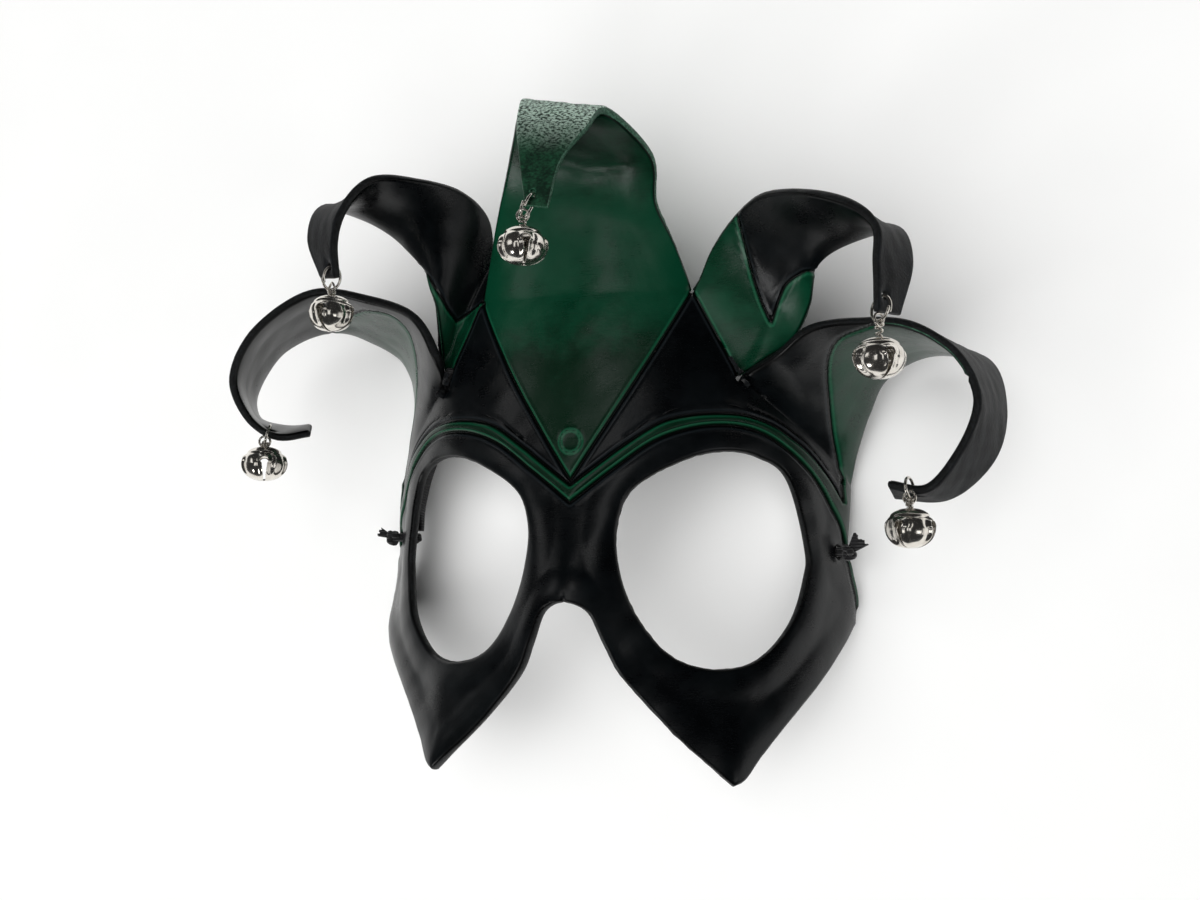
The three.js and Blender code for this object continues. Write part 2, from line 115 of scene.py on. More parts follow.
def places_along(points: Sequence, share: Points, closed: bool = False) -> Points:
    """Places at shares of a smooth line's length, from its summed chords at 40 steps a span."""
    t = np.linspace(0, 1, 40 * len(points) + 1)
    line = smooth_line(points, t, closed)
    length = np.concatenate([[0], np.cumsum(np.linalg.norm(np.diff(line, axis=0), axis=1))])
    return smooth_line(points, np.interp(np.asarray(share) * length[-1], length, t), closed)


def stations(length: Points, count: int, near: Sequence = (), far: Sequence = ()) -> Points:
    """Shares of each length: fixed steps in mm at both ends and even steps between them.

    Args:
        length: The lengths in mm, n of them.
        count: How many steps there are.
        near: The first stations' distances from the start.
        far: The last stations' distances from the end, nearest to the end first.

    Returns:
        Rising shares from 0 to 1, count + 1 by n.
    """
    length = np.atleast_1d(np.asarray(length, float))
    front, back = np.array([0, *near]), np.array([0, *far])[::-1]
    squeeze = np.minimum(1, length / (3 * (front[-1] + back[0]) + 1e-9))
    first = front[:, None] * squeeze
    last = length - back[:, None] * squeeze
    inner = np.linspace(0, 1, count + 3 - len(front) - len(back))[1:-1, None]
    return np.vstack([first, first[-1] + (last[0] - first[-1]) * inner, last]) / length


def lumps(points: Points, size: float, seed: int) -> Points:
    """Soft random height between about -1 and 1: a sum of sine waves in seeded directions.

    Args:
        points: Where to read it, in mm.
        size: The width of a lump in mm.
        seed: The seed of the directions.

    Returns:
        The height at each point.
    """
    dice = np.random.default_rng(seed)
    ways = unit(dice.normal(size=(9, 3))) * dice.uniform(0.6, 1.5, (9, 1)) * math.pi / size
    phase = dice.uniform(0, 2 * math.pi, 9)
    return np.sin(points @ ways.T + phase).sum(-1) / 4


def distance_to(points: Points, lines: Sequence[Points]) -> Points:
    """The least distance from each point to any of the lines, each a row of places."""
    starts = np.vstack([line[:-1] for line in lines])
    ways = np.vstack([line[1:] - line[:-1] for line in lines])
    squares = np.maximum((ways ** 2).sum(1), 1e-12)
    best = np.empty(len(points))
    for at in range(0, len(points), 4000):
        part = points[at:at + 4000, None] - starts
        t = np.clip((part * ways).sum(-1) / squares, 0, 1)
        best[at:at + 4000] = np.sqrt(((part - t[..., None] * ways) ** 2).sum(-1).min(1))
    return best


def inside(where: Points, polygon: Sequence) -> Points:
    """Whether each place is in the polygon: a ray to its right crosses the outline an odd number of times."""
    a = np.asarray(polygon, float)
    b = np.roll(a, -1, 0)
    x, y = where[:, 0, None], where[:, 1, None]
    spans = (a[:, 1] > y) != (b[:, 1] > y)
    rise = np.where(b[:, 1] == a[:, 1], 1, b[:, 1] - a[:, 1])
    cross = a[:, 0] + (y - a[:, 1]) / rise * (b[:, 0] - a[:, 0])
    return (spans & (x < cross)).sum(1) % 2 == 1


def make_mesh(name: str, points: Points, faces: Points, slots: Points | None = None) -> bpy.types.Object:
    """An object whose mesh has these points and faces.

    Args:
        name: The piece's name.
        points: Its vertices in metres, n by 3.
        faces: Vertex numbers, m by 4. A triangle repeats its last number.
        slots: Each face's material slot.

    Returns:
        The object, at the origin.
    """
    mesh = bpy.data.meshes.new(name)
    mesh.vertices.add(len(points))
    mesh.vertices.foreach_set("co", np.asarray(points, np.float32).ravel())
    corners = np.where(faces[:, 2] == faces[:, 3], 3, 4)
    keep = np.ones(faces.shape, bool)
    keep[:, 3] = corners == 4
    mesh.loops.add(int(corners.sum()))
    mesh.loops.foreach_set("vertex_index", faces[keep].astype(np.int32))
    mesh.polygons.add(len(faces))
    mesh.polygons.foreach_set("loop_start", np.concatenate([[0], np.cumsum(corners)[:-1]]).astype(np.int32))
    if slots is not None:
        mesh.polygons.foreach_set("material_index", slots.astype(np.int32))
    mesh.update(calc_edges=True)
    mesh.validate()
    mesh.shade_smooth()
    piece = bpy.data.objects.new(name, mesh)
    bpy.context.scene.collection.objects.link(piece)
    return piece


def grid_faces(rows: int, columns: int, around: bool = False) -> Points:
    """The quads of a grid of points, row by row, closed across its last column if around."""
    wide = columns if around else columns - 1
    i, j = np.meshgrid(np.arange(rows - 1), np.arange(wide), indexing="ij")
    k = (j + 1) % columns
    quads = [i * columns + j, i * columns + k, (i + 1) * columns + k, (i + 1) * columns + j]
    return np.stack(quads, -1).reshape(-1, 4)


def end_caps(rows: int, columns: int) -> Points:
    """Fans that close a grid's first and last ring around the two points that follow the grid."""
    first, last = np.arange(columns), np.arange(columns) + (rows - 1) * columns
    head = np.full(columns, rows * columns)
    return np.vstack([np.stack([np.roll(first, -1), first, head, head], -1),
                      np.stack([last, np.roll(last, -1), head + 1, head + 1], -1)])


def welded(points: Points, faces: Points, fineness: float) -> tuple[Points, Points]:
    """Joins the points that round to the same place, and drops the faces that close up.

    Args:
        points: The points in mm.
        faces: Their quads.
        fineness: How many places there are to a mm.

    Returns:
        The numbers of the points that stay, and the faces on them. A quad that lost a corner repeats its
        last one.
    """
    _, first, number = np.unique(np.round(points * fineness).astype(np.int64), axis=0, return_index=True,
                                 return_inverse=True)
    faces = number.reshape(-1)[faces]
    for k in range(4):
        same = faces[:, k] == faces[:, (k + 1) % 4]
        faces[same] = np.roll(faces[same], -k - 1, 1)
        faces[same, 3] = faces[same, 2]
    whole = (faces[:, 0] != faces[:, 1]) & (faces[:, 1] != faces[:, 2]) & (faces[:, 0] != faces[:, 2])
    return first, faces[whole]


def turned_over(faces: Points, shift: int) -> Points:
    """The same faces seen from behind, on points whose numbers are higher by shift."""
    triangle = (faces[:, 2] == faces[:, 3])[:, None]
    return np.where(triangle, faces[:, [0, 2, 1, 1]], faces[:, [0, 3, 2, 1]]) + shift


def open_edges(faces: Points) -> Points:
    """The directed edges that belong to one face only."""
    pairs = np.vstack([np.stack([faces[:, k], faces[:, (k + 1) % 4]], -1) for k in range(4)])
    pairs = pairs[pairs[:, 0] != pairs[:, 1]]
    size = int(faces.max()) + 1
    keys = pairs[:, 0] * size + pairs[:, 1]
    back = pairs[:, 1] * size + pairs[:, 0]
    return pairs[~np.isin(keys, back)]


def tube(path: Points, radius: Points | float, sides: int, closed: bool = False) -> tuple[Points, Points]:
    """A round wire: a circle carried square to a path, turned as little as the path allows.

    Args:
        path: The middle line, n by 3.
        radius: The wire's radius, one or n.
        sides: Corners of the circle.
        closed: Whether the path returns to its start.

    Returns:
        Its points and its quads. An open wire has a flat end cap of triangles.
    """
    ways = np.roll(path, -1, 0) - np.roll(path, 1, 0) if closed else np.gradient(path, axis=0)
    ways = unit(ways)
    side = np.zeros_like(path)
    side[0] = unit(np.cross(ways[0], [0.3, 0.5, 0.8]))
    for i in range(1, len(path)):
        side[i] = unit(side[i - 1] - (side[i - 1] @ ways[i]) * ways[i])
    if closed:
        last = unit(side[-1] - (side[-1] @ ways[0]) * ways[0])
        twist = math.atan2(np.cross(side[0], last) @ ways[0], side[0] @ last)
        turn = -twist * np.arange(len(path)) / len(path)
        side = side * np.cos(turn)[:, None] + np.cross(ways, side) * np.sin(turn)[:, None]
    up = np.cross(ways, side)
    angle = np.linspace(0, 2 * math.pi, sides, endpoint=False)
    circle = side[:, None] * np.cos(angle)[:, None] + up[:, None] * np.sin(angle)[:, None]
    points = path[:, None] + circle * np.broadcast_to(radius, len(path))[:, None, None]
    points = points.reshape(-1, 3)
    faces = grid_faces(len(path), sides, True)
    if closed:
        ends = np.arange(sides) + (len(path) - 1) * sides
        first = np.arange(sides)
        faces = np.vstack([faces, np.stack([ends, np.roll(ends, -1), np.roll(first, -1), first], -1)])
        return points, faces
    return np.vstack([points, path[0], path[-1]]), np.vstack([faces, end_caps(len(path), sides)])


def joined(parts: Sequence[tuple[Points, Points]]) -> tuple[Points, Points]:
    """Several point and face arrays as one."""
    starts = np.cumsum([0, *(len(points) for points, _ in parts)])
    faces = [faces + start for (_, faces), start in zip(parts, starts)]
    return np.vstack([points for points, _ in parts]), np.vstack(faces)


# Finishes

def colour(code: str) -> tuple[float, float, float, float]:
    """An sRGB hex colour as linear light: ((c + 0.055) / 1.055) to the power 2.4 above the toe."""
    parts = [int(code[i:i + 2], 16) / 255 for i in (1, 3, 5)]
    return (*(p / 12.92 if p <= 0.04045 else ((p + 0.055) / 1.055) ** 2.4 for p in parts), 1.0)


def set_inputs(node: bpy.types.ShaderNode, inputs: dict) -> None:
    """Gives a node's inputs a value, a hex colour or the output that feeds them, by name or number."""
    for name, value in inputs.items():
        usable = (socket for socket in node.inputs if socket.enabled and socket.name == name)
        socket = node.inputs[name] if isinstance(name, int) else next(usable)
        if isinstance(value, bpy.types.NodeSocket):
            node.id_data.links.new(value, socket)
        else:
            socket.default_value = colour(value) if isinstance(value, str) else value


def add_node(owner: bpy.types.ID, kind: str, inputs: dict | None = None, out: str = "",
             **settings) -> bpy.types.NodeSocket:
    """Adds a node to a material or a world.

    Args:
        owner: The material or world.
        kind: The node's type without its ShaderNode beginning.
        inputs: What its inputs get.
        out: The name of the output to return, else it is the first usable one.
        settings: The node's own properties.

    Returns:
        The output.
    """
    node = owner.node_tree.nodes.new("ShaderNode" + kind)
    for name, value in settings.items():
        setattr(node, name, value)
    set_inputs(node, inputs or {})
    return node.outputs[out] if out else next(socket for socket in node.outputs if socket.enabled)


def new_material(name: str, shown: str
                 ) -> tuple[bpy.types.Material, Callable, Callable, bpy.types.NodeSocket]:
    """A material with its shader and its Object coordinates.

    Args:
        name: The material's common name.
        shown: Its colour in the solid view, in hex.

    Returns:
        The material, add_node for it, set_inputs for its Principled shader, and the coordinates.
    """
    material = bpy.data.materials.new(name)
    material.use_nodes = True
    material.diffuse_color = colour(shown)
    add = partial(add_node, material)
    shader = partial(set_inputs, material.node_tree.nodes["Principled BSDF"])
    return material, add, shader, add("TexCoord", out="Object")


def per_mm(size_mm: float, detail: float = 3.0) -> dict:
    """The inputs of a noise whose lumps are size_mm wide."""
    return {"Scale": 1 / (size_mm * MM), "Detail": detail, "Roughness": 0.55}


def weighted(add: Callable, *parts: tuple[bpy.types.NodeSocket, float],
             offset: float = 0.0) -> bpy.types.NodeSocket:
    """An offset plus each value times its weight."""
    for value, weight in parts:
        offset = add("Math", {0: value, 1: weight, 2: offset}, operation="MULTIPLY_ADD")
    return offset


SMOOTH = {"interpolation_type": "SMOOTHSTEP"}
COLOURS = {"data_type": "RGBA"}


@dataclass(frozen=True)
class DyedLeather:
    """Vegetable-tanned cowhide, wet-moulded, brushed with spirit dye and closed with a satin resin finish."""

    black: str = "#020304"
    black_worn: str = "#080b0d"
    black_lip_highlight: str = "#1c2124"
    green: str = "#021a0d"
    green_mottled_and_lit: str = "#043522"
    green_lip_highlight: str = "#15563b"
    line: str = "#020202"
    pore_mm: float = 0.5
    brush_mm: float = 0.4
    wrinkle_mm: float = 1.3
    roughness: float = 0.24
    ior: float = 1.45

    def build(self) -> bpy.types.Material:
        """The finish of the grain side: satin, with pores, brush strokes, dark lines partly painted shade,
        painted highlights on the lips and painted light on the green.
        """
        m, add, shader, where = new_material("dyed_vegetable_tanned_leather", self.green)
        names = ("green_mm", "groove_mm", "rim_mm", "ring_mm", "painted_light_share")
        green, groove, rim, ring, depth = (add("Attribute", out="Fac", attribute_name=name) for name in names)
        border = add("Math", {0: green}, operation="ABSOLUTE")
        line = add("Math", {0: border, 1: groove}, operation="MINIMUM")
        lip_line = add("Math", {0: border, 1: ring}, operation="MINIMUM")
        brushed = add("Mapping", {"Vector": where, "Scale": (0.13, 1.0, 0.5)})
        broad = add("TexNoise", {"Vector": where, **per_mm(17)})
        patches = add("TexNoise", {"Vector": where, **per_mm(5, 4)})
        strokes = add("TexNoise", {"Vector": brushed, **per_mm(self.brush_mm)})
        pores = add("TexNoise", {"Vector": where, **per_mm(self.pore_mm)})
        cells = add("TexVoronoi", {"Vector": where, "Scale": 1 / (self.wrinkle_mm * MM)}, feature="SMOOTH_F1")

        uneven = weighted(add, (broad, 0.55), (patches, 0.25), (strokes, 0.2))
        mottle = add("MapRange", {"Value": uneven, "From Min": 0.38, "From Max": 0.66}, **SMOOTH)
        frayed = weighted(add, (green, 1.0), (patches, 0.3), (strokes, 0.2), offset=-0.25)
        is_green = add("MapRange", {"Value": frayed, "From Min": -0.08, "From Max": 0.08}, **SMOOTH)
        # Painted light: besides its random mottle, the green is painted lighter where light falls on the
        # upper diamond and the centre horn's root, and darker on the rest of the face
        lit = weighted(add, (mottle, 0.5), (depth, 0.75))
        lit = add("MapRange", {"Value": lit, "From Min": 0.2, "From Max": 1.1}, **SMOOTH)
        blacks = add("Mix", {"Factor": mottle, "A": self.black, "B": self.black_worn}, **COLOURS)
        greens = add("Mix", {"Factor": lit, "A": self.green, "B": self.green_mottled_and_lit}, **COLOURS)
        dye = add("Mix", {"Factor": is_green, "A": blacks, "B": greens}, **COLOURS)

        # Painted highlight: a lighter strip along the raised lips beside the green borders and around the
        # ring
        lip = add("Mix", {"Factor": is_green, "A": self.black_lip_highlight, "B": self.green_lip_highlight}, **COLOURS)
        rise = add("MapRange", {"Value": lip_line, "From Min": 0.5, "From Max": 0.85}, **SMOOTH)
        fall = add("MapRange", {"Value": lip_line, "From Min": 1.5, "From Max": 0.95, "To Max": 0.5},
                   **SMOOTH)
        share = add("Math", {0: rise, 1: fall}, operation="MULTIPLY")
        dye = add("Mix", {"Factor": share, "A": dye, "B": lip}, **COLOURS)
        # Dark carved lines along the green borders and the fine grooves: partly dark dye, partly painted
        # shade in the grooves
        share = add("MapRange", {"Value": line, "From Min": 0.5, "From Max": 0.2}, **SMOOTH)
        dye = add("Mix", {"Factor": share, "A": dye, "B": self.line}, **COLOURS)
        share = add("MapRange", {"Value": rim, "From Min": 0.75, "From Max": 0.15, "To Max": 0.9}, **SMOOTH)
        dye = add("Mix", {"Factor": share, "A": dye, "B": self.line}, **COLOURS)

        rough = add("MapRange", {"Value": uneven, "From Min": 0.3, "From Max": 0.7, "To Min": self.roughness,
                                 "To Max": self.roughness + 0.1})
        carved = add("MapRange", {"Value": line, "From Min": 0.0, "From Max": 0.55}, **SMOOTH)
        normal = None
        for height, depth_mm, strength in ((pores, 0.07, 0.2), (cells, 0.08, 0.18), (carved, 0.3, 0.8),
                                           (strokes, 0.07, 0.24)):
            under = {} if normal is None else {"Normal": normal}
            normal = add("Bump", {"Height": height, "Distance": depth_mm * MM, "Strength": strength, **under})
        shader({"Base Color": dye, "Roughness": rough, "Normal": normal, "IOR": self.ior})
        return m


@dataclass(frozen=True)
class FleshSide:
    """The rough side of the same leather: brushed suede fibre, dyed, and green only on the middle horn."""

    black: str = "#050607"
    black_nap: str = "#14171a"
    green: str = "#04190f"
    green_nap: str = "#123a26"
    painted_fold_highlight: str = "#c4dccd"
    fibre_mm: float = 0.5

    def build(self) -> bpy.types.Material:
        """The finish of the flesh side: matt, with short fibres, and a painted highlight that makes them
        paler up to the centre horn's fold.
        """
        m, add, shader, where = new_material("dyed_flesh_side", self.black)
        green, fold = (add("Attribute", out="Fac", attribute_name=name) for name in ("green_mm", "fold"))
        green = add("MapRange", {"Value": green, "From Min": -0.2, "From Max": 0.2}, **SMOOTH)
        combed = add("Mapping", {"Vector": where, "Scale": (0.6, 1.0, 1.0)})
        nap = add("TexNoise", {"Vector": combed, **per_mm(self.fibre_mm, 5)})
        broad = add("TexNoise", {"Vector": where, **per_mm(5)})
        mixed = weighted(add, (nap, 0.6), (broad, 0.4))
        mixed = add("MapRange", {"Value": mixed, "From Min": 0.4, "From Max": 0.66}, **SMOOTH)
        fibres = add("MapRange", {"Value": nap, "From Min": 0.38, "From Max": 0.6}, **SMOOTH)
        # Painted highlight: pale fibres over the centre horn's flesh side up to its fold
        pale = add("Math", {0: fold, 1: fibres}, operation="MULTIPLY")
        greens = add("Mix", {"Factor": mixed, "A": self.green, "B": self.green_nap}, **COLOURS)
        greens = add("Mix", {"Factor": pale, "A": greens, "B": self.painted_fold_highlight}, **COLOURS)
        blacks = add("Mix", {"Factor": mixed, "A": self.black, "B": self.black_nap}, **COLOURS)
        dye = add("Mix", {"Factor": green, "A": blacks, "B": greens}, **COLOURS)
        normal = add("Bump", {"Height": nap, "Distance": 0.25 * MM, "Strength": 0.8})
        shader({"Base Color": dye, "Roughness": 0.72, "Specular IOR Level": 0.35, "Sheen Weight": 0.08,
                "Sheen Roughness": 0.4, "Normal": normal})
        return m


@dataclass(frozen=True)
class CutEdge:
    """The cut edge of the leather: fibrous, dyed with the same brush and rubbed smooth by hand."""

    black: str = "#050505"
    black_rubbed: str = "#15181a"
    green: str = "#123c29"
    green_rubbed: str = "#416b56"
    fibre_mm: float = 0.6

    def build(self) -> bpy.types.Material:
        """The finish of the cut edges: dull, with fibres along the edge."""
        m, add, shader, where = new_material("burnished_cut_edge", self.black)
        green = add("Attribute", out="Fac", attribute_name="green_mm")
        green = add("MapRange", {"Value": green, "From Min": -0.2, "From Max": 0.2}, **SMOOTH)
        fibres = add("TexNoise", {"Vector": where, **per_mm(self.fibre_mm, 5)})
        rubbed = add("MapRange", {"Value": fibres, "From Min": 0.42, "From Max": 0.68}, **SMOOTH)
        blacks = add("Mix", {"Factor": rubbed, "A": self.black, "B": self.black_rubbed}, **COLOURS)
        greens = add("Mix", {"Factor": rubbed, "A": self.green, "B": self.green_rubbed}, **COLOURS)
        dye = add("Mix", {"Factor": green, "A": blacks, "B": greens}, **COLOURS)
        normal = add("Bump", {"Height": fibres, "Distance": 0.15 * MM, "Strength": 0.6})
        shader({"Base Color": dye, "Roughness": 0.55, "Normal": normal})
        return m


@dataclass(frozen=True)
class NickelPlate:
    """Pressed steel with bright nickel plating: a mirror with faint handling haze."""

    tint: str = "#e6e1d9"
    hazed: str = "#cfc9bf"
    roughness: float = 0.11
    smudge_mm: float = 2.2

    def build(self) -> bpy.types.Material:
        """The finish of bells, rings and wire: warm silver, sharp reflections, light smudges."""
        m, add, shader, where = new_material("bright_nickel_plate", self.tint)
        haze = add("TexNoise", {"Vector": where, **per_mm(self.smudge_mm, 4)})
        smudge = add("MapRange", {"Value": haze, "From Min": 0.35, "From Max": 0.75}, **SMOOTH)
        tint = add("Mix", {"Factor": smudge, "A": self.tint, "B": self.hazed}, **COLOURS)
        rough = add("MapRange", {"Value": haze, "From Min": 0.3, "From Max": 0.8, "To Min": self.roughness,
                                 "To Max": self.roughness + 0.09})
        normal = add("Bump", {"Height": haze, "Distance": 0.02 * MM, "Strength": 0.3})
        shader({"Metallic": 0.97, "Base Color": tint, "Roughness": rough, "Normal": normal})
        return m


@dataclass(frozen=True)
class BlackRibbon:
    """Black grosgrain ribbon of spun thread: matt, with ribs across its width."""

    thread: str = "#0c0c0d"
    worn: str = "#232325"
    rib_mm: float = 0.9
    fuzz_mm: float = 0.4

    def build(self) -> bpy.types.Material:
        """The finish of the strap and its knots: ribs drawn a little coarser than real thread."""
        m, add, shader, where = new_material("black_grosgrain_ribbon", self.thread)
        length = add("Attribute", out="Fac", attribute_name="length_mm")
        turn = add("Math", {0: length, 1: 2 * math.pi / self.rib_mm}, operation="MULTIPLY")
        ribs = add("Math", {0: turn}, operation="SINE")
        fuzz = add("TexNoise", {"Vector": where, **per_mm(self.fuzz_mm, 4)})
        share = add("MapRange", {"Value": fuzz, "From Min": 0.4, "From Max": 0.75}, **SMOOTH)
        dye = add("Mix", {"Factor": share, "A": self.thread, "B": self.worn}, **COLOURS)
        under = add("Bump", {"Height": fuzz, "Distance": 0.15 * MM, "Strength": 0.5})
        normal = add("Bump", {"Height": ribs, "Distance": 0.15 * MM, "Strength": 0.8, "Normal": under})
        shader({"Base Color": dye, "Roughness": 0.9, "Sheen Weight": 0.2, "Normal": normal})
        return m


class Finish(Enum):
    """The finishes that the pieces are dressed with."""

    LEATHER = "leather"
    NICKEL = "nickel"
    RIBBON = "ribbon"


def dress(piece: bpy.types.Object, finish: Finish, materials: Sequence[bpy.types.Material],
          *nodes: str) -> None:
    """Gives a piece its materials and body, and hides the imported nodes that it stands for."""
    for material in materials:
        piece.data.materials.append(material)
    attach(piece, "root")
    if nodes:
        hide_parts(*nodes)


def set_number(piece: bpy.types.Object, name: str, values: Points) -> None:
    """Stores a number at each vertex."""
    numbers = piece.data.attributes.new(name, "FLOAT", "POINT").data
    numbers.foreach_set("value", np.asarray(values, np.float32))


# The leather

@dataclass
class MouldedFace:
    """The half mask's face. A place on it is (s, y): s around from its middle line, y up from the eyes."""

    nose_arch: tuple = (0, -10.8)
    band_middle: tuple = (0, 15.8)
    root_middle: tuple = (0, 76)
    centre_slit: tuple = (36.5, 76)
    side_slit: tuple = (50, 51)
    temple_top: tuple = (96, 20)
    diamond_tip: tuple = (0, 22)
    eye_centre: tuple = (43, 0)
    eye: tuple = ((73.4, 3), (66.5, 22.5), (56, 28.8), (44, 30.2), (31.6, 27.3), (18, 19.8), (13.6, 10),
                  (14.3, -2), (19, -15), (28, -26), (41, -30), (55, -27.6), (67, -17.5), (72.9, -5))
    band_low: tuple = ((0, 15.8), (12.6, 25.2), (26, 33.7), (42, 37.3), (58, 35), (74, 25), (86, 12), (93, 2))
    band_high: tuple = ((0, 20.8), (6.5, 25.5), (15.7, 32), (25.5, 37.9), (34, 40.1), (42.6, 40.8),
                        (51.4, 40.4),
                        (60, 38.2), (66.9, 35), (74.3, 30.6), (83.1, 23.4), (89.8, 16.6), (94.6, 11.6))
    temple: tuple = ((93, 2), (95.6, -3), (99.5, -12), (99, -19))
    cheek: tuple = ((99, -19), (88, -27.5), (68.5, -42.3), (57, -52.5), (51.4, -58.7), (47.6, -60.5))
    nose: tuple = ((47.6, -60.5), (42.4, -56.6), (28.3, -45.2), (16.2, -32.2), (11.5, -23), (8, -15),
                   (4.4, -12), (0, -10.8))
    middle_steps: int = 22
    temple_steps: int = 18
    cheek_steps: int = 56
    nose_steps: int = 60
    diamond_steps: int = 54
    half_root_steps: int = 30
    inner_root_steps: int = 28
    outer_root_steps: int = 50
    eye_rows: int = 20
    forehead_rows: int = 24
    band_rows: tuple = (0, 0.09, 0.18, 0.34, 0.5, 0.66, 0.82, 0.91, 1)
    root_rows: tuple = (0.35, 0.8, 1.6)
    edge_steps: tuple = (0.45, 1.1)
    half_width: float = 78.0
    least_half_width: float = 66.0
    narrowing: float = 0.0012
    left_share: float = 0.97
    left_cheek: tuple = (3.4, -27.0, 14.0)
    depth: float = 62.0
    depth_rise: float = 0.1
    bridge_out: float = 1.5
    nose_out: float = 9.0
    nose_width: float = 13.0
    cheek_flare: float = 6.0

    def point(self, where: Points) -> Points:
        """The moulded surface: an ellipse around the head, a nose ridge and flared cheeks.

        Across, x is the half width times sin(s / 78) and the depth falls as 1 - cos(s / 78). The half width
        shrinks with height squared, the nose is a bell curve in s, and the cheeks flare below the eyes.
        The left cheek stands out by a bell curve of height: how far, at what height and how tall it is.

        Args:
            where: Places (s, y) in mm.

        Returns:
            Points in mm from the bridge of the nose.
        """
        where = np.asarray(where, float)
        s, y = where[..., 0], where[..., 1]
        narrowed = self.half_width - self.narrowing * np.maximum(y - 5, 0) ** 2
        depth = self.depth + self.depth_rise * np.clip(y, -80, 80)
        middle = self.bridge_out - self.narrowing * np.maximum(y - 15, 0) ** 2
        nose = self.nose_out * hump(s, self.nose_width) * smoothstep(-y, -22, 26)
        flare = self.cheek_flare * smoothstep(-y, 25, 75)
        turn = s / self.half_width
        x = np.maximum(narrowed, self.least_half_width) * np.sin(turn) * np.where(s < 0, self.left_share, 1)
        out, level, tall = self.left_cheek
        x = x - out * hump(y - level, tall) * smoothstep(-s, 55, 95)
        return np.stack([x, y, middle - depth * (1 - np.cos(turn)) + nose + flare], -1)

    def root_shares(self, length: float, steps: int) -> Points:
        """How far along a horn's root its columns stand."""
        return stations(length, steps, self.edge_steps, self.edge_steps)[:, 0]

    def roots(self) -> dict[str, Points]:
        """The right half's roots: places (s, y) of the columns of the middle, inner and outer horn."""
        names = (self.root_middle, self.centre_slit, self.side_slit, self.temple_top)
        corners = [np.array(corner, float) for corner in names]
        lengths = [float(np.linalg.norm(b - a)) for a, b in zip(corners, corners[1:])]
        middle = self.root_shares(2 * lengths[0], 2 * self.half_root_steps)[self.half_root_steps:] * 2 - 1
        shares = (middle, self.root_shares(lengths[1], self.inner_root_steps),
                  self.root_shares(lengths[2], self.outer_root_steps))
        return {name: a + (b - a) * share[:, None]
                for name, a, b, share in zip(("middle", "inner", "outer"), corners, corners[1:], shares)}

    def half(self) -> list[Points]:
        """The right half's patches of places (s, y): around the eye, brow band, forehead, half diamond."""
        roots = self.roots()
        steps = self.diamond_steps + self.inner_root_steps + self.outer_root_steps
        low, high, middle, temple, cheek, nose = (
            places_along(line, even(count)) for line, count in (
                (self.band_low, steps), (self.band_high, steps),
                ((self.nose_arch, self.band_middle), self.middle_steps), (self.temple, self.temple_steps),
                (self.cheek, self.cheek_steps), (self.nose, self.nose_steps)))
        around = np.vstack([middle, low[1:], temple[1:], cheek[1:], nose[1:]])
        eyeline = places_along(self.eye, even(720), True)[:-1]
        bearing, wanted = (np.arctan2(*(line - self.eye_centre).T[::-1]) for line in (eyeline, around))
        order = np.argsort(bearing)
        eye = np.stack([np.interp(wanted, bearing[order], eyeline[order, k], period=2 * math.pi)
                        for k in (0, 1)], -1)
        length = np.linalg.norm(around - eye, axis=1)
        share = stations(length, self.eye_rows, self.edge_steps, self.edge_steps)[..., None]
        ring = eye + (around - eye) * share
        band = low + (high - low) * np.array(self.band_rows)[:, None, None]
        tip = np.array(self.diamond_tip)
        edge = tip + (self.centre_slit - tip) * even(self.diamond_steps)[:, None]
        top = np.vstack([edge, roots["inner"][1:], roots["outer"][1:]])
        share = stations(np.linalg.norm(top - high, axis=1), self.forehead_rows, (), self.root_rows)
        forehead = high + (top - high) * share[..., None]
        reach = roots["middle"][:, 0] / roots["middle"][-1, 0]
        diamond = np.stack([edge[:, :1] * reach, np.broadcast_to(edge[:, 1:], (len(edge), len(reach)))], -1)
        return [ring, band, forehead, diamond]


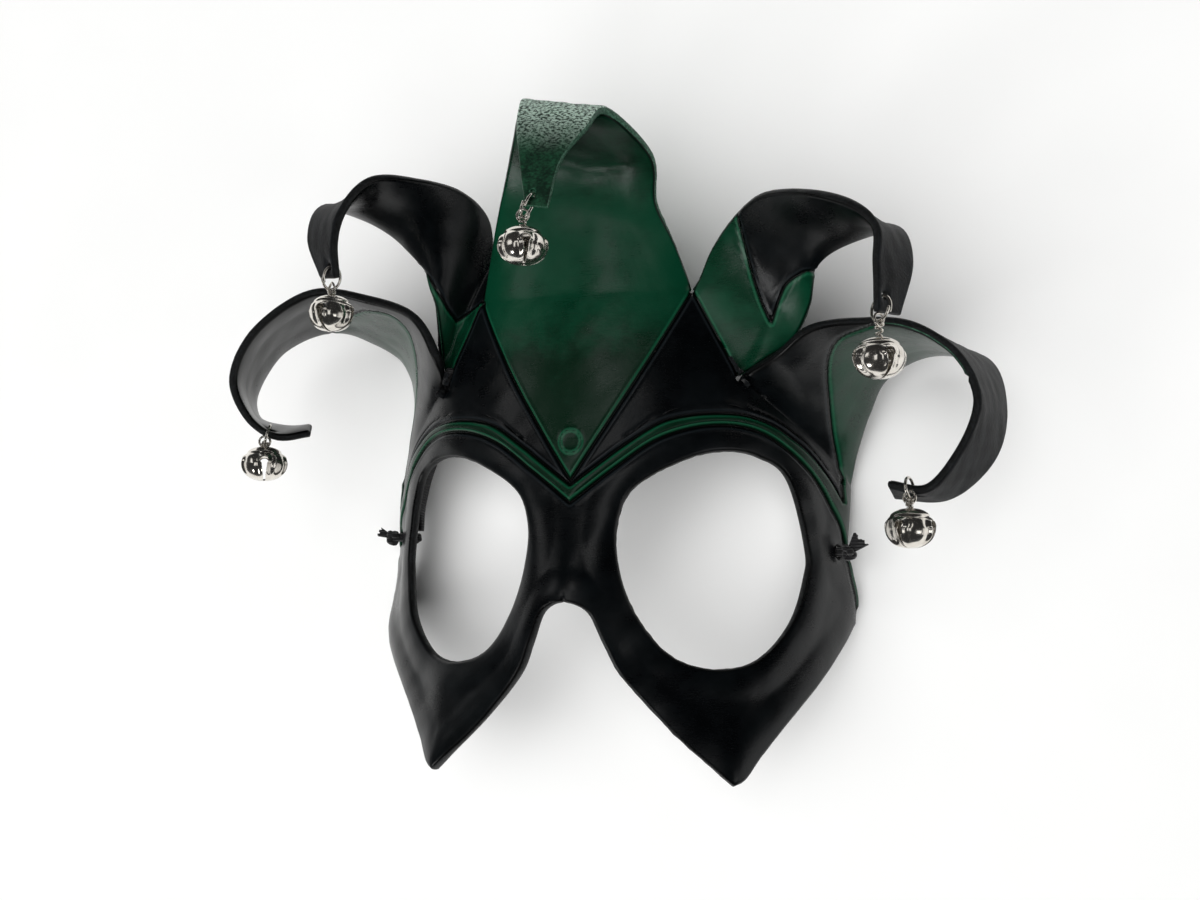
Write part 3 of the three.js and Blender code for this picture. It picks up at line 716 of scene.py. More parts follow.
@dataclass
class Horn:
    """A strip that leaves the face along its root and curls: the places of its two cut edges, root to tip.

    Its arms are the green dye's painted borders, rest the corners that close the green area. The slit is how
    far in mm its left and right edge stand back above the root.
    """

    name: str
    root: tuple
    left: tuple
    right: tuple
    rows: int
    arms: tuple = ()
    rest: tuple = ((-0.1, -0.1), (1.1, -0.1), (1.1, 1.1), (-0.1, 1.1))
    creases: tuple = ()
    slit: tuple = (0, 0)
    blend: float = 0.35
    lead: float = 10.0

    def point(self, face: MouldedFace, across: Points, along: Points) -> Points:
        """The horn's middle surface: straight from edge to edge, swelling with the face near its root.

        Both edges start as the face lies, lead mm inside the root. The swelling is gone at blend.

        Args:
            face: The face that it grows from.
            across: 0 to 1 from its left edge.
            along: 0 to 1 from root to tip.

        Returns:
            Points in mm from the bridge of the nose.
        """
        start, end = np.array(self.root, float)
        way = end - start
        inward = np.array([way[1], -way[0]]) / np.hypot(*way) * self.lead
        t = (1 + np.asarray(along, float) * len(self.left)) / (len(self.left) + 1)
        edges = []
        for corner, places in ((start, self.left), (end, self.right)):
            line = np.vstack([face.point(corner + inward), face.point(corner), places])
            edges.append((smooth_line(line, t), face.point(corner)))
        across = np.asarray(across, float)[..., None]
        straight = edges[0][0] * (1 - across) + edges[1][0] * across
        bulge = face.point(start + way * across) - (edges[0][1] * (1 - across) + edges[1][1] * across)
        return straight + bulge * (1 - smoothstep(along, 0, self.blend))[..., None]

    def green_outline(self) -> Points:
        """The green area as places (across, along): its painted borders, then the corners that close it."""
        borders = [places_along(arm, np.linspace(0, 1, 90)) for arm in self.arms]
        return np.vstack([*borders, np.array(self.rest, float)])

    def patch(self, face: MouldedFace, root: Points) -> tuple[Points, Points]:
        """The horn's grid of points and its places (across, along), with its rows spread along its middle."""
        t = even(240)
        spine = self.point(face, np.full(len(t), 0.5), t)
        length = np.concatenate([[0], np.cumsum(np.linalg.norm(np.diff(spine, axis=0), axis=1))])
        share = stations(length[-1], self.rows, (), face.edge_steps)[:, 0]
        along = np.interp(share * length[-1], length, t)
        left, right = (self.point(face, np.full(len(along), side), along) for side in (0.0, 1.0))
        width = np.linalg.norm(right - left, axis=1)
        across = stations(width, len(root) - 1, face.edge_steps, face.edge_steps).T
        far = share * length[-1]
        open_by = smoothstep(far, 0, 1.5) * (1 - smoothstep(far, 7, 20)) / width
        left, right = self.slit[0] * open_by, self.slit[1] * open_by
        across = left[:, None] + across * (1 - left - right)[:, None]
        start, end = np.array(self.root, float)
        across[0] = np.linalg.norm(root - start, axis=1) / np.linalg.norm(end - start)
        along = np.broadcast_to(along[:, None], across.shape)
        points = self.point(face, across, along)
        points[0] = face.point(root)
        return points, np.stack([across, along], -1)


HORNS = (
    Horn("centre", ((-36.5, 76), (36.5, 76)),
         ((-26, 97, -7), (-20, 110, 0), (-14, 120, 9), (-9, 125, 18), (-7, 116, 26), (-5, 105, 29),
          (-3, 93, 30)),
         ((28, 89, -9), (24, 100, -3), (25, 111, 6), (16, 120, 19), (12, 113, 26), (6, 104, 29), (3, 92, 30)),
         60, creases=(((0.36, 0.37), (0.55, 0.36), (0.8, 0.39)),)),
    Horn("inner_right", ((36.5, 76), (50, 51)),
         ((39, 87, -7), (47, 94, 0), (56, 97, 9), (69, 94, 19), (80, 89, 24), (86, 82, 26), (86, 73, 27),
          (86, 61, 27)),
         ((53, 56, -14), (61, 62, -13), (66, 70, -8), (68, 79, -3), (77, 84, 3), (90, 85, 9), (94, 75, 15),
          (91, 61, 20)),
         84, (((-0.03, 0.27), (0.2, 0.24), (0.4, 0.215), (0.6, 0.2), (0.792, 0.195)),
              ((0.792, 0.195), (0.71, 0.26), (0.69, 0.33), (0.8, 0.43), (1.04, 0.5))),
         ((1.05, -0.02), (-0.05, -0.02)), (((0.792, 0.195), (0.92, 0.1), (0.99, 0.02)),), (0, 0.5)),
    Horn("inner_left", ((-50, 51), (-36.5, 76)),
         ((-46, 58, -15), (-45, 67, -10), (-45, 77, -6), (-48, 87, -5), (-59, 98, -1), (-73, 103, 9),
          (-75, 93, 15), (-69, 80, 18)),
         ((-30, 89, -15), (-30, 101, -11), (-34, 107, 0), (-42, 108, 12), (-53, 107, 20), (-60, 98, 23),
          (-62, 88, 24), (-62, 79, 22)),
         84, (((-0.03, 0.5), (0.05, 0.45), (0.1, 0.36), (0.17, 0.27), (0.283, 0.183)),
              ((0.283, 0.183), (0.567, 0.108), (0.85, 0.04), (1.03, 0.008))),
         ((1.05, -0.02), (-0.05, -0.02)), (((0.283, 0.183), (0.2, 0.1), (0.08, 0.02)),), (0.5, 0)),
    Horn("outer_right", ((50, 51), (96, 20)),
         ((57, 56, -5), (67, 62, 0), (80, 63, 2), (93, 61, 4), (104, 53, 5), (109, 42, 6), (106, 31, 6),
          (97, 19, 5), (87, 20, 4)),
         ((76, 32, -39), (79, 42, -37), (84, 52, -34), (97, 58, -29), (112, 54, -22), (116, 41, -15),
          (113, 27, -10), (102, 17, -7), (88, 17, -3)),
         92, (((0.87, -0.01), (0.8, 0.022), (0.65, 0.071), (0.4, 0.163), (0.283, 0.212), (0.158, 0.271),
               (0.06, 0.34),
               (-0.04, 0.38)), ((-0.04, 0.62), (0.5, 0.6), (1.04, 0.58))), ((1.05, -0.02),), (), (0.5, 0)),
    Horn("outer_left", ((-96, 20), (-50, 51)),
         ((-68, 48, -44), (-71, 63, -42), (-79, 70, -36), (-90, 73, -27), (-103, 66, -19), (-109, 52, -13),
          (-106, 43, -9), (-96, 40, -7), (-85, 40, -5)),
         ((-44, 58, -6), (-50, 71, -2), (-64, 77, 1), (-81, 79, 4), (-96, 68, 9), (-103, 54, 10),
          (-99, 42, 8), (-91, 36, 5), (-82, 37, 1)),
         92, (((0.13, -0.01), (0.35, 0.071), (0.483, 0.125), (0.642, 0.179), (0.783, 0.229), (0.885, 0.28),
               (0.84, 0.33), (0.675, 0.362), (0.392, 0.404), (-0.04, 0.45)),), ((-0.05, -0.02),), (),
               (0, 0.5)),
)


@dataclass
class MaskLeather:
    """The whole mask, cut from one sheet of leather."""

    thickness: float = 2.7
    tip_thickness: float = 2.2
    bevel: float = 0.34
    round_out: float = 0.22
    rough_edge: float = 0.1
    rough_back: float = 0.12
    groove_depth: float = 0.45
    groove_width: float = 0.5
    fine_depth: float = 0.22
    ring_height: float = 0.35
    crease: tuple = (0.5, 1.1)
    lip: tuple = (0.14, 1.15)
    band_height: float = 0.55
    roll_height: float = 0.5
    roll_width: float = 9.0
    rim_dip: float = 0.25
    cheek_ridge: float = 0.9
    bridge_height: float = 0.35
    soft_lumps: tuple = ((0.22, 16, 3), (0.07, 5, 4))
    band_end: tuple = ((90.8, 5), (92.3, 1), (94.2, -4.5), (97.6, -12), (98, -14.5))
    band_strip: tuple = ((102, -14.5), (110, 0), (110, 20), (96, 21), (90, 24), (89.4, 20.5))
    panel: tuple = ((90.0, 24), (89.4, 20.5), (90.2, 16.6))
    ring_place: tuple = (0, 33)
    ring_radius: float = 3.2
    fine_gap: float = 2.2
    seam_share: float = 0.62
    face: MouldedFace = field(default_factory=MouldedFace)

    def band_lines(self, steps: int) -> tuple[Points, Points]:
        """The brow band's lower and upper groove as places (s, y)."""
        low = (*self.face.band_low[:-1], *self.band_end)
        return places_along(low, even(steps)), places_along(self.face.band_high[:-1], even(steps))

    def carved(self) -> dict[str, list[Points]]:
        """The carved lines as rows of points in mm, by kind."""
        face = self.face
        t = even(119)
        low, high = self.band_lines(119)
        fine = places_along([(s, y + self.fine_gap) for s, y in face.band_high[2:-2]], t)
        seam = places_along(face.band_low, t) * self.seam_share
        seam = (seam + places_along(face.band_high, t) * (1 - self.seam_share))[2:-16]
        diamond = places_along((face.diamond_tip, face.centre_slit), t)
        ring = np.stack([np.cos(2 * math.pi * t), np.sin(2 * math.pi * t)], -1) * self.ring_radius
        pairs = {"band": (low, high), "fine": (fine, seam), "diamond": (diamond, places_along(self.panel, t))}
        lines = {kind: [face.point(half) for line in rows for half in (line, mirrored(line))]
                 for kind, rows in pairs.items()}
        lines |= {"ring": [face.point(ring + self.ring_place)], "crease": [], "root": []}
        for horn in HORNS:
            for arm in horn.arms:
                place = places_along(arm, even(159))
                place = place[(np.abs(place[:, 0] - 0.5) < 0.53) & (place[:, 1] > 0)]
                lines["diamond"].append(horn.point(face, np.clip(place[:, 0], 0, 1), place[:, 1]))
            for crease in horn.creases:
                place = places_along(crease, even(59))
                lines["crease"].append(horn.point(face, place[:, 0], place[:, 1]))
        for horn in HORNS[1:3]:
            start, end = np.array(horn.root, float)
            lines["root"].append(face.point(start + (end - start) * t[:, None]))
        return lines

    def green_places(self) -> list[Points]:
        """The face's green areas as outlines in (s, y): the band's right and left half, and the diamond."""
        low, high = self.band_lines(159)
        right = np.vstack([low, self.band_strip, high[::-1]])
        slit = np.array(self.face.centre_slit, float)
        above = slit + [0, 1]
        diamond = np.vstack([self.face.diamond_tip, slit, above, mirrored(above), mirrored(slit)])
        return [right, mirrored(right), diamond]

    def sheet(self) -> tuple[Points, Points, Points, Points]:
        """The sheet before it is pierced: a grid for each patch, welded where patches share a border.

        Returns:
            Its points in mm, their places on the face or horn, their zones, 0 on the face and else the horn's
            number, and its faces.
        """
        face = self.face
        patches = [(face.point(grid), grid, 0) for patch in face.half()
                   for grid in (patch, mirrored(patch)[:, ::-1])]
        roots = face.roots()
        left = {name: mirrored(line)[::-1] for name, line in roots.items()}
        middle = np.vstack([left["middle"], roots["middle"][1:]])
        lines = (middle, roots["inner"], left["inner"], roots["outer"], left["outer"])
        patches += [(*horn.patch(face, root), k + 1) for k, (horn, root) in enumerate(zip(HORNS, lines))]
        points = np.vstack([grid.reshape(-1, 3) for grid, _, _ in patches])
        place = np.vstack([places.reshape(-1, 2) for _, places, _ in patches])
        zone = np.concatenate([np.full(grid[..., 0].size, number) for grid, _, number in patches])
        starts = np.cumsum([0, *(grid[..., 0].size for grid, _, _ in patches)])
        faces = [grid_faces(*grid.shape[:2]) + start for (grid, _, _), start in zip(patches, starts)]
        first, faces = welded(points, np.vstack(faces), 500)
        return points[first], place[first], zone[first], faces

    @staticmethod
    def pierce(points: Points, faces: Points, holes: Sequence[tuple[Points, Points, float]]) -> Points:
        """Moves the points around each hole onto its circle, and returns the faces that stay."""
        for at, way, radius in holes:
            gap = points - at
            level = gap @ way
            flat = gap - level[:, None] * way
            far = np.linalg.norm(flat, axis=1)
            hit = (far < radius) & (np.abs(level) < 2.5)
            gone = hit[faces].any(1)
            rim = np.setdiff1d(faces[gone], np.flatnonzero(hit))
            points[rim] = at + level[rim, None] * way + flat[rim] * (radius / far[rim])[:, None]
            faces = faces[~gone]
        return faces

    def build(self, holes: Sequence[tuple[Points, Points, float]]) -> bpy.types.Object:
        """The closed mesh: grain side, flesh side and rounded cut edges, pierced by round holes.

        The two sides stand off the sheet along its normals. A border gets a rounded edge whose section is a
        half ellipse.

        Args:
            holes: For each hole its place and way out in mm and its radius.

        Returns:
            The piece.
        """
        points, place, zone, faces = self.sheet()
        faces = self.pierce(points, faces, holes)
        normal = self.normals(points, faces)
        edges = open_edges(faces)
        border = np.unique(edges)
        lines = self.carved()
        kinds = ("band", "fine", "diamond", "ring", "crease")
        far = {kind: distance_to(points, lines[kind]) for kind in kinds}
        far["rim"] = distance_to(points, [points[edge] for edge in edges])
        green = self.signed_green(points, place, zone, lines)

        along = np.where(zone > 0, place[:, 1], 0)
        thick = self.thickness + (self.tip_thickness - self.thickness) * along
        outer = thick / 2 * smoothstep(along, 0, 0.35)
        inner = outer - thick
        outer = outer + self.relief(points, place, zone, far, green)
        inner = inner + self.rough_back * lumps(points, 2.4, 5) * smoothstep(far["rim"], 0, 1.5)
        edge_in = np.zeros(len(points))
        edge_in[border] = self.bevel
        top = points + normal * (outer - edge_in)[:, None]
        bottom = points + normal * (inner + edge_in)[:, None]

        way = points[edges[:, 1]] - points[edges[:, 0]]
        out = np.zeros_like(points)
        for k in (0, 1):
            np.add.at(out, edges[:, k], np.cross(way, normal[edges[:, k]]))
        out = unit(out[border])
        rows = [top[border]]
        rough = self.rough_edge * lumps(points[border], 1.3, 8)
        for share in (0.22, 0.5, 0.78):
            swell = self.round_out * 4 * share * (1 - share) + rough * (1 if share == 0.5 else 0.5)
            rows.append(top[border] * (1 - share) + bottom[border] * share + out * swell[:, None])
        count, around = len(points), len(border)
        seat = np.zeros(count, int)
        seat[border] = np.arange(around)
        a, b = seat[edges[:, 0]], seat[edges[:, 1]]
        ids = [border, *(2 * count + k * around + np.arange(around) for k in range(3)), border + count]
        walls = [np.stack([i[b], i[a], j[a], j[b]], -1) for i, j in zip(ids, ids[1:])]
        whole = np.vstack([faces, turned_over(faces, count), *walls])
        slots = np.repeat([0, 1, 2], [len(faces), len(faces), 4 * len(edges)])
        every = np.vstack([top, bottom, *rows[1:]])
        piece = make_mesh("leather", (every + FACE_ZERO) * MM, whole, slots)
        for name, (grain, flesh) in self.dye(points, place, zone, far, green).items():
            set_number(piece, name, np.concatenate([grain, flesh, *[flesh[border]] * 3]))
        LOG.info("leather: %d vertices, %d faces", len(every), len(whole))
        return piece

    @staticmethod
    def dye(points: Points, place: Points, zone: Points, far: dict[str, Points],
            green: Points) -> dict[str, tuple[Points, Points]]:
        """What the finishes read at each point, on the grain side and on the flesh side, painted light among
        them.

        Args:
            points: The sheet's points in mm.
            place: Their places on the face or horn.
            zone: 0 on the face, else the horn's number.
            far: Distance from each kind of line in mm.
            green: Signed distance from the black in mm.

        Returns:
            Two arrays for each name.
        """
        along = np.where(zone > 0, place[:, 1], 0)
        back = np.where((zone == 1) & (place[:, 1] > 0), 3.0, -3.0)
        # Painted highlight: the centre horn's flesh side is paler up to its fold, fading out beyond it
        fold = np.where(zone == 1, 1 - smoothstep(along, 0.57, 0.84), 0)
        front = np.where(zone == 5, 1.5 * smoothstep(place[:, 0], 0.5, 0.8), 0)
        front += np.where(zone == 4, 1.0 * smoothstep(-place[:, 0], -0.5, -0.2), 0)
        inked = far["rim"] - front * smoothstep(along, 0, 0.06)
        # Painted light for the green: lighter on the upper diamond and the centre horn's root, fading along
        # the curl, darkest on the rest of the face, and between on the other horns
        middle = (zone == 1) | ((zone == 0) & (np.abs(place[:, 0]) < 37) & (points[:, 1] > 22))
        lit = smoothstep(points[:, 1], 48, 78) * (1 - 0.7 * smoothstep(along, 0.22, 0.42))
        depth = np.where((zone == 0) & ~middle, 0.1, np.where(middle, lit, 0.75))
        groove, ring = far["fine"] + 0.15, far["ring"] + 0.5
        return {"green_mm": (green, back), "groove_mm": (groove, groove), "ring_mm": (ring, ring),
                "painted_light_share": (depth, depth), "rim_mm": (inked, far["rim"]), "fold": (fold, fold)}

    @staticmethod
    def normals(points: Points, faces: Points) -> Points:
        """The way out at each point, from the crossed diagonals of the faces around it."""
        a, b, c, d = (points[faces[:, k]] for k in range(4))
        across = np.cross(c - a, d - b)
        normal = np.zeros_like(points)
        for k in range(4):
            np.add.at(normal, faces[:, k], across)
        return unit(normal)

    def signed_green(self, points: Points, place: Points, zone: Points,
                     lines: dict[str, list[Points]]) -> Points:
        """How far inside a green area each point lies, in mm, negative in the black."""
        on_face = zone == 0
        is_green = np.zeros(len(points), bool)
        for outline in self.green_places():
            is_green[on_face] |= inside(place[on_face], outline)
        for number, horn in enumerate(HORNS):
            here = zone == number + 1
            is_green[here] = inside(place[here], horn.green_outline())
        far = distance_to(points, lines["band"] + lines["diamond"] + lines["root"])
        return np.where(is_green, far, -far)

    def relief(self, points: Points, place: Points, zone: Points, far: dict[str, Points],
               green: Points) -> Points:
        """The height of the grain side over the plain sheet: grooves, raised band, ridges and soft lumps.

        A groove is a bell curve of its distance, the band a step over its two grooves, and the rims of the
        openings dip with a roll beyond them.

        Args:
            points: The sheet's points in mm.
            place: Their places on the face or horn.
            zone: 0 on the face, else the horn's number.
            far: Distance from each kind of line in mm.
            green: Signed distance from the black in mm.

        Returns:
            The height in mm.
        """
        face = zone == 0
        band, cut, rim = far["band"], far["diamond"], far["rim"]
        s, y = np.abs(place[:, 0]), place[:, 1]
        depth, width = self.groove_depth, self.groove_width
        height = -depth * hump(band, width) - self.fine_depth * hump(far["fine"], 0.9 * width)
        height -= depth * hump(cut, 1.1 * width)
        crease, wide = self.crease
        height += self.ring_height * hump(far["ring"], width) - crease * hump(far["crease"], wide)
        height += self.lip[0] * hump(np.minimum(band, cut) - self.lip[1], 0.9 * width)
        on_band = face & (green > 0) & ~inside(place, self.green_places()[2])
        height += np.where(on_band, self.band_height * smoothstep(band, 0.2, 1.1), 0)
        roll = self.roll_height * np.sin(np.clip(rim / self.roll_width, 0, 1) * math.pi)
        roll = roll - self.rim_dip * hump(rim, 1.6)
        height += roll * (0.3 + 0.5 * face * (1 - smoothstep(y, 14, 36)))
        ridge = hump(s - 46 - 0.1 * (y + 60), 7) * smoothstep(-y, 28, 50)
        bridge = hump(s, 7.0) * smoothstep(y, -14, 0) * (1 - smoothstep(y, 12, 20))
        height += np.where(face, self.cheek_ridge * ridge + self.bridge_height * bridge, 0)
        return height + sum(high * lumps(points, size, seed) for high, size, seed in self.soft_lumps)


# Bells, rings and wire

@dataclass
class Hanger:
    """A pierced horn's wire ring and bell: where the hole is, and how the ring and the bell hang."""

    name: str
    horn: int
    along: float
    near: float
    swing: float
    hook: float
    neck: float
    turn: float
    hole_from_edge: float = 2.6
    ring_radius: float = 3.0
    ring_long: float = 1.1
    ring_short: float = 0.9
    ring_wire: float = 0.4
    loop_radius: float = 1.6
    loop_sag: float = 0.35
    crown: float = 4.8

    def frame(self, face: MouldedFace) -> tuple[Points, Points, Points]:
        """The hole's place, the way from it into the ring, and the way out of the leather, in mm."""
        horn = HORNS[self.horn]
        left, right, low, high = horn.point(face, np.array([0, 1, 0.5, 0.5]),
                                            self.along - np.array([0, 0, 0.03, 0]))
        edge, far = (left, right) if self.near == 0 else (right, left)
        edgeward = unit(edge - far)
        tipward = unit(high - low)
        outward = unit(-np.cross(right - left, tipward))
        place = edge - edgeward * self.hole_from_edge
        tip = np.cross(outward, edgeward)
        tip = tip * np.sign(tip @ tipward)
        angle = math.radians(self.swing)
        return place, edgeward * math.cos(angle) + tip * math.sin(angle), outward

    def ring_point(self, face: MouldedFace, angle: Points) -> Points:
        """The ring's middle line: an ellipse through the hole and around the horn's near edge."""
        place, ringward, outward = self.frame(face)
        middle = place + ringward * self.ring_radius * self.ring_long
        angle = np.asarray(angle, float)[..., None]
        return (middle + ringward * self.ring_radius * self.ring_long * np.cos(angle)
                + outward * self.ring_radius * self.ring_short * np.sin(angle))

    def bell_frame(self, face: MouldedFace) -> tuple[Points, Points, Points, Points]:
        """Where the ring carries the bell, the bell's middle and its two level axes, in mm."""
        angle = math.radians(self.hook)
        touch = self.ring_point(face, angle)
        wire = self.ring_point(face, angle + 0.01) - touch
        wire[1] = 0
        wire = unit(wire)
        up = np.array([0.0, 1.0, 0.0])
        sideways = np.cross(up, wire)
        height = self.crown + self.neck + self.loop_radius
        return touch, touch + up * (self.loop_sag - height), sideways, wire


HANGERS = (
    Hanger("centre", 0, 0.96, 0, 72, 0, 1.8, 27),
    Hanger("inner_right", 1, 0.96, 0, 75, 0, 3.0, 64),
    Hanger("inner_left", 2, 0.96, 1, 95, 0, 0.8, 33),
    Hanger("outer_right", 3, 0.94, 0, 0, 90, 1.5, 85),
    Hanger("outer_left", 4, 0.86, 1, 0, 90, 0.2, 9),
)


@dataclass
class JingleBell:
    """A pressed bell of four petals: two slots cross in its mouth, and each ends in a round hole."""

    radius: float = 6.3
    half_height: float = 5.1
    wall: float = 0.5
    squareness: float = 0.8
    slot: float = 0.75
    hole: float = 1.15
    hole_level: float = 0.9
    flatness: float = 0.03
    columns: int = 30
    lip: tuple = (0.28, 0.5)
    valley: tuple = (0.34, 0.75, 1.35)
    seam: tuple = (0.2, 0.42, 3.0)
    belt: float = 3.4
    loop_wire: float = 0.34
    coil_wire: float = 0.3
    coil_turns: float = 2.6
    coil_radius: tuple = (0.62, 0.5)

    def shell(self, inset: float) -> Points:
        """The bell's wall: a squared oval turned about its axis, cut into quarters by slots with round ends.

        The level is half_height * sin(t), the radius radius * cos(t) ** squareness, and each quarter is
        flattened by a cosine of four times the turn. A quarter's columns run from slot edge to slot edge.
        The slot widens upwards into its round hole and closes above it. A lip stands up along the slot
        and the hole, a valley runs beside the lip, and a seam runs around the upper half. The numbers of each
        are how high or deep it is, how wide, and how far from the slot or at what level.

        Args:
            inset: How far inside the outer wall it lies, in mm.

        Returns:
            Points, 4 quarters by rows + 1 by columns + 1 by 3, its axis along the second.
        """
        top = self.hole_level + self.hole
        hole_turns = np.linspace(math.pi, 0, 27)
        beside_hole = np.arcsin((self.hole_level + self.hole * np.cos(hole_turns)) / self.half_height)
        below = np.linspace(-math.pi / 2, beside_hole[0], 30)[:-1]
        above = np.linspace(beside_hole[-1], math.pi / 2, 26)[1:]
        t = np.concatenate([below, beside_hole, above])[:, None]
        outer_level = self.half_height * np.sin(t)
        level = (self.half_height - inset) * np.sin(t)
        radius = (self.radius - inset) * np.clip(np.cos(t), 0, 1) ** self.squareness
        away = np.sqrt(np.clip(self.hole ** 2 - (outer_level - self.hole_level) ** 2, 0, None))
        slot = self.slot * (0.45 + 0.55 * smoothstep(outer_level, -self.half_height, self.hole_level))
        half = np.where(outer_level < self.hole_level, np.maximum(slot, away), away)
        gap = np.arcsin(np.clip(half / np.maximum(radius, half * 1.02 + 1e-6), 0, 0.98))
        u = np.linspace(-1, 1, self.columns + 1)
        u = np.sign(u) * (1 - (1 - np.abs(u)) ** 1.7)
        turn = u * (math.pi / 4 - gap)
        belt = hump(outer_level, self.belt)
        radius = radius * (1 - self.flatness * belt * np.cos(4 * turn))
        beside_slot = radius * (math.pi / 4 - np.abs(turn))
        from_slot = np.maximum(beside_slot - half, 0)
        from_hole = np.hypot(beside_slot, outer_level - self.hole_level) - self.hole
        beside = np.where(outer_level < self.hole_level, from_slot, np.maximum(from_hole, 0))
        fade = smoothstep(-outer_level, -top - 1.8, -top - 0.6) * smoothstep(outer_level, -4.6, -2.4)
        lip, lip_width = self.lip
        valley, width, away = self.valley
        radius = radius + fade * (lip * hump(beside, lip_width) - valley * hump(beside - away, width))
        depth, width, level_of_seam = self.seam
        radius = radius - depth * hump(outer_level - level_of_seam, width)
        quarters = []
        for k in range(4):
            angle = turn + k * math.pi / 2 + math.pi / 4
            quarters.append(np.stack([radius * np.cos(angle), np.broadcast_to(level, angle.shape),
                                      -radius * np.sin(angle)], -1))
        return np.stack(quarters)

    def mesh(self) -> tuple[Points, Points]:
        """The closed wall: outer and inner surface, joined around the slots and holes."""
        outer, inner = self.shell(0.0), self.shell(self.wall)
        rows, columns = outer.shape[1:3]
        size = rows * columns
        faces = np.vstack([grid_faces(rows, columns) + k * size for k in range(4)])
        first, faces = welded(outer.reshape(-1, 3), faces, 2000)
        edges = open_edges(faces)
        count = len(first)
        walls = np.stack([edges[:, 1], edges[:, 0], edges[:, 0] + count, edges[:, 1] + count], -1)
        points = np.vstack([outer.reshape(-1, 3)[first], inner.reshape(-1, 3)[first]])
        return points, np.vstack([faces, turned_over(faces, count), walls])

    def build(self, hanger: Hanger, face: MouldedFace) -> bpy.types.Object:
        """The bell with its wire loop and the wire wound around the loop's neck."""
        _, middle, sideways, wire = hanger.bell_frame(face)
        up = np.array([0.0, 1.0, 0.0])
        points, faces = self.mesh()
        angle = math.radians(hanger.turn)
        c, s = math.cos(angle), math.sin(angle)
        turn = np.array([[c, 0, s], [0, 1, 0], [-s, 0, c]])
        loop_at = hanger.crown + hanger.neck + hanger.loop_radius
        t = np.linspace(0, 2 * math.pi, 36, endpoint=False)
        loop = np.stack([hanger.loop_radius * np.cos(t), loop_at + hanger.loop_radius * np.sin(t),
                         0.15 * np.sin(2 * t)], -1)
        w = even(69)
        spread = self.coil_radius[0] + self.coil_radius[1] * w
        wound = self.coil_turns * 2 * math.pi * w
        coil = np.stack([spread * np.cos(wound), self.half_height - 0.1 + w * (hanger.neck + 0.9),
                         spread * np.sin(wound)], -1)
        wires = (tube(loop, self.loop_wire, 10, True), tube(coil, self.coil_wire, 10))
        points, faces = joined([(points @ turn.T, faces), *wires])
        points = middle + points[:, :1] * sideways + points[:, 1:2] * up + points[:, 2:] * wire
        return make_mesh("bell_" + hanger.name + "_pressed", (points + FACE_ZERO) * MM, faces)


@dataclass
class WireRing:
    """A ring bent by hand from nickel wire, its two ends passing each other."""

    steps: int = 72
    overlap: float = 0.35

    def build(self, hanger: Hanger, face: MouldedFace) -> bpy.types.Object:
        """An ellipse of wire whose ends pass side by side."""
        _, ringward, outward = hanger.frame(face)
        angle = np.linspace(0.4 * math.pi, 2.4 * math.pi + self.overlap, self.steps)
        path = hanger.ring_point(face, angle)
        through = unit(np.cross(ringward, outward))
        slide = np.linspace(-0.5, 0.5, self.steps) * 2 * hanger.ring_wire
        path = path + through * slide[:, None]
        points, faces = tube(path, hanger.ring_wire, 12)
        return make_mesh("ring_" + hanger.name + "_wire", (points + FACE_ZERO) * MM, faces)


# The strap

@dataclass
class Strap:
    """A flat ribbon strap that lies under the mask, and its two knots."""

    route: tuple = ((62.4, -28.4, 7.6), (62, -16, 6.4), (59, -2, 5), (51, 14, 4.6), (34, 31, 4.6),
                    (0, 40, 4.6),
                    (-38, 31, 4.6), (-56, 14, 4.6), (-64, -2, 5), (-67, -14, 6.4), (-67.2, -24.4, 7.6))
    width: float = 8.0
    thickness: float = 1.3
    gather: float = 16.0
    thicker: float = 1.2
    narrower: float = 0.66
    squareness: float = 0.6
    steps: int = 260

    def build(self) -> tuple[bpy.types.Object, Points, float]:
        """The ribbon: a flat oval section carried along the route on its edge, gathered at its ends.

        Returns:
            The piece, its middle line and its length, in metres.
        """
        share = even(self.steps)
        path = places_along(self.route, share)
        way = unit(np.gradient(path, axis=0))
        side = unit(np.cross(way, [0, 0, 1]))
        up = np.cross(side, way)
        angle = np.linspace(0, 2 * math.pi, 24, endpoint=False)
        x, y = (np.sign(wave) * np.abs(wave) ** self.squareness * size / 2
                for wave, size in ((np.cos(angle), self.thickness), (np.sin(angle), self.width)))
        gathered = 1 - smoothstep(self.gather * (0.5 - np.abs(share - 0.5)), 0, 1)
        x = x * (1 + self.thicker * gathered)[:, None]
        y = y * (1 - self.narrower * gathered)[:, None]
        points = path[:, None] + side[:, None] * x[..., None] + up[:, None] * y[..., None]
        rows, columns = points.shape[:2]
        flat = np.vstack([points.reshape(-1, 3), path[0], path[-1]])
        faces = np.vstack([grid_faces(rows, columns, True), end_caps(rows, columns)])
        piece = make_mesh("strap_ribbon", flat * MM, faces)
        length = np.linalg.norm(np.diff(path, axis=0), axis=1).sum()
        set_number(piece, "length_mm", np.concatenate([np.repeat(share * length, columns), [0, length]]))
        return piece, path * MM, float(length) * MM


def strap_hole(face: MouldedFace, where: tuple) -> tuple[Points, Points]:
    """A temple hole's place and the way out of the leather there, in mm."""
    place = face.point(where)
    over = face.point((where[0] + 1, where[1])) - place
    up = face.point((where[0], where[1] + 1)) - place
    return place, unit(np.cross(over, up))


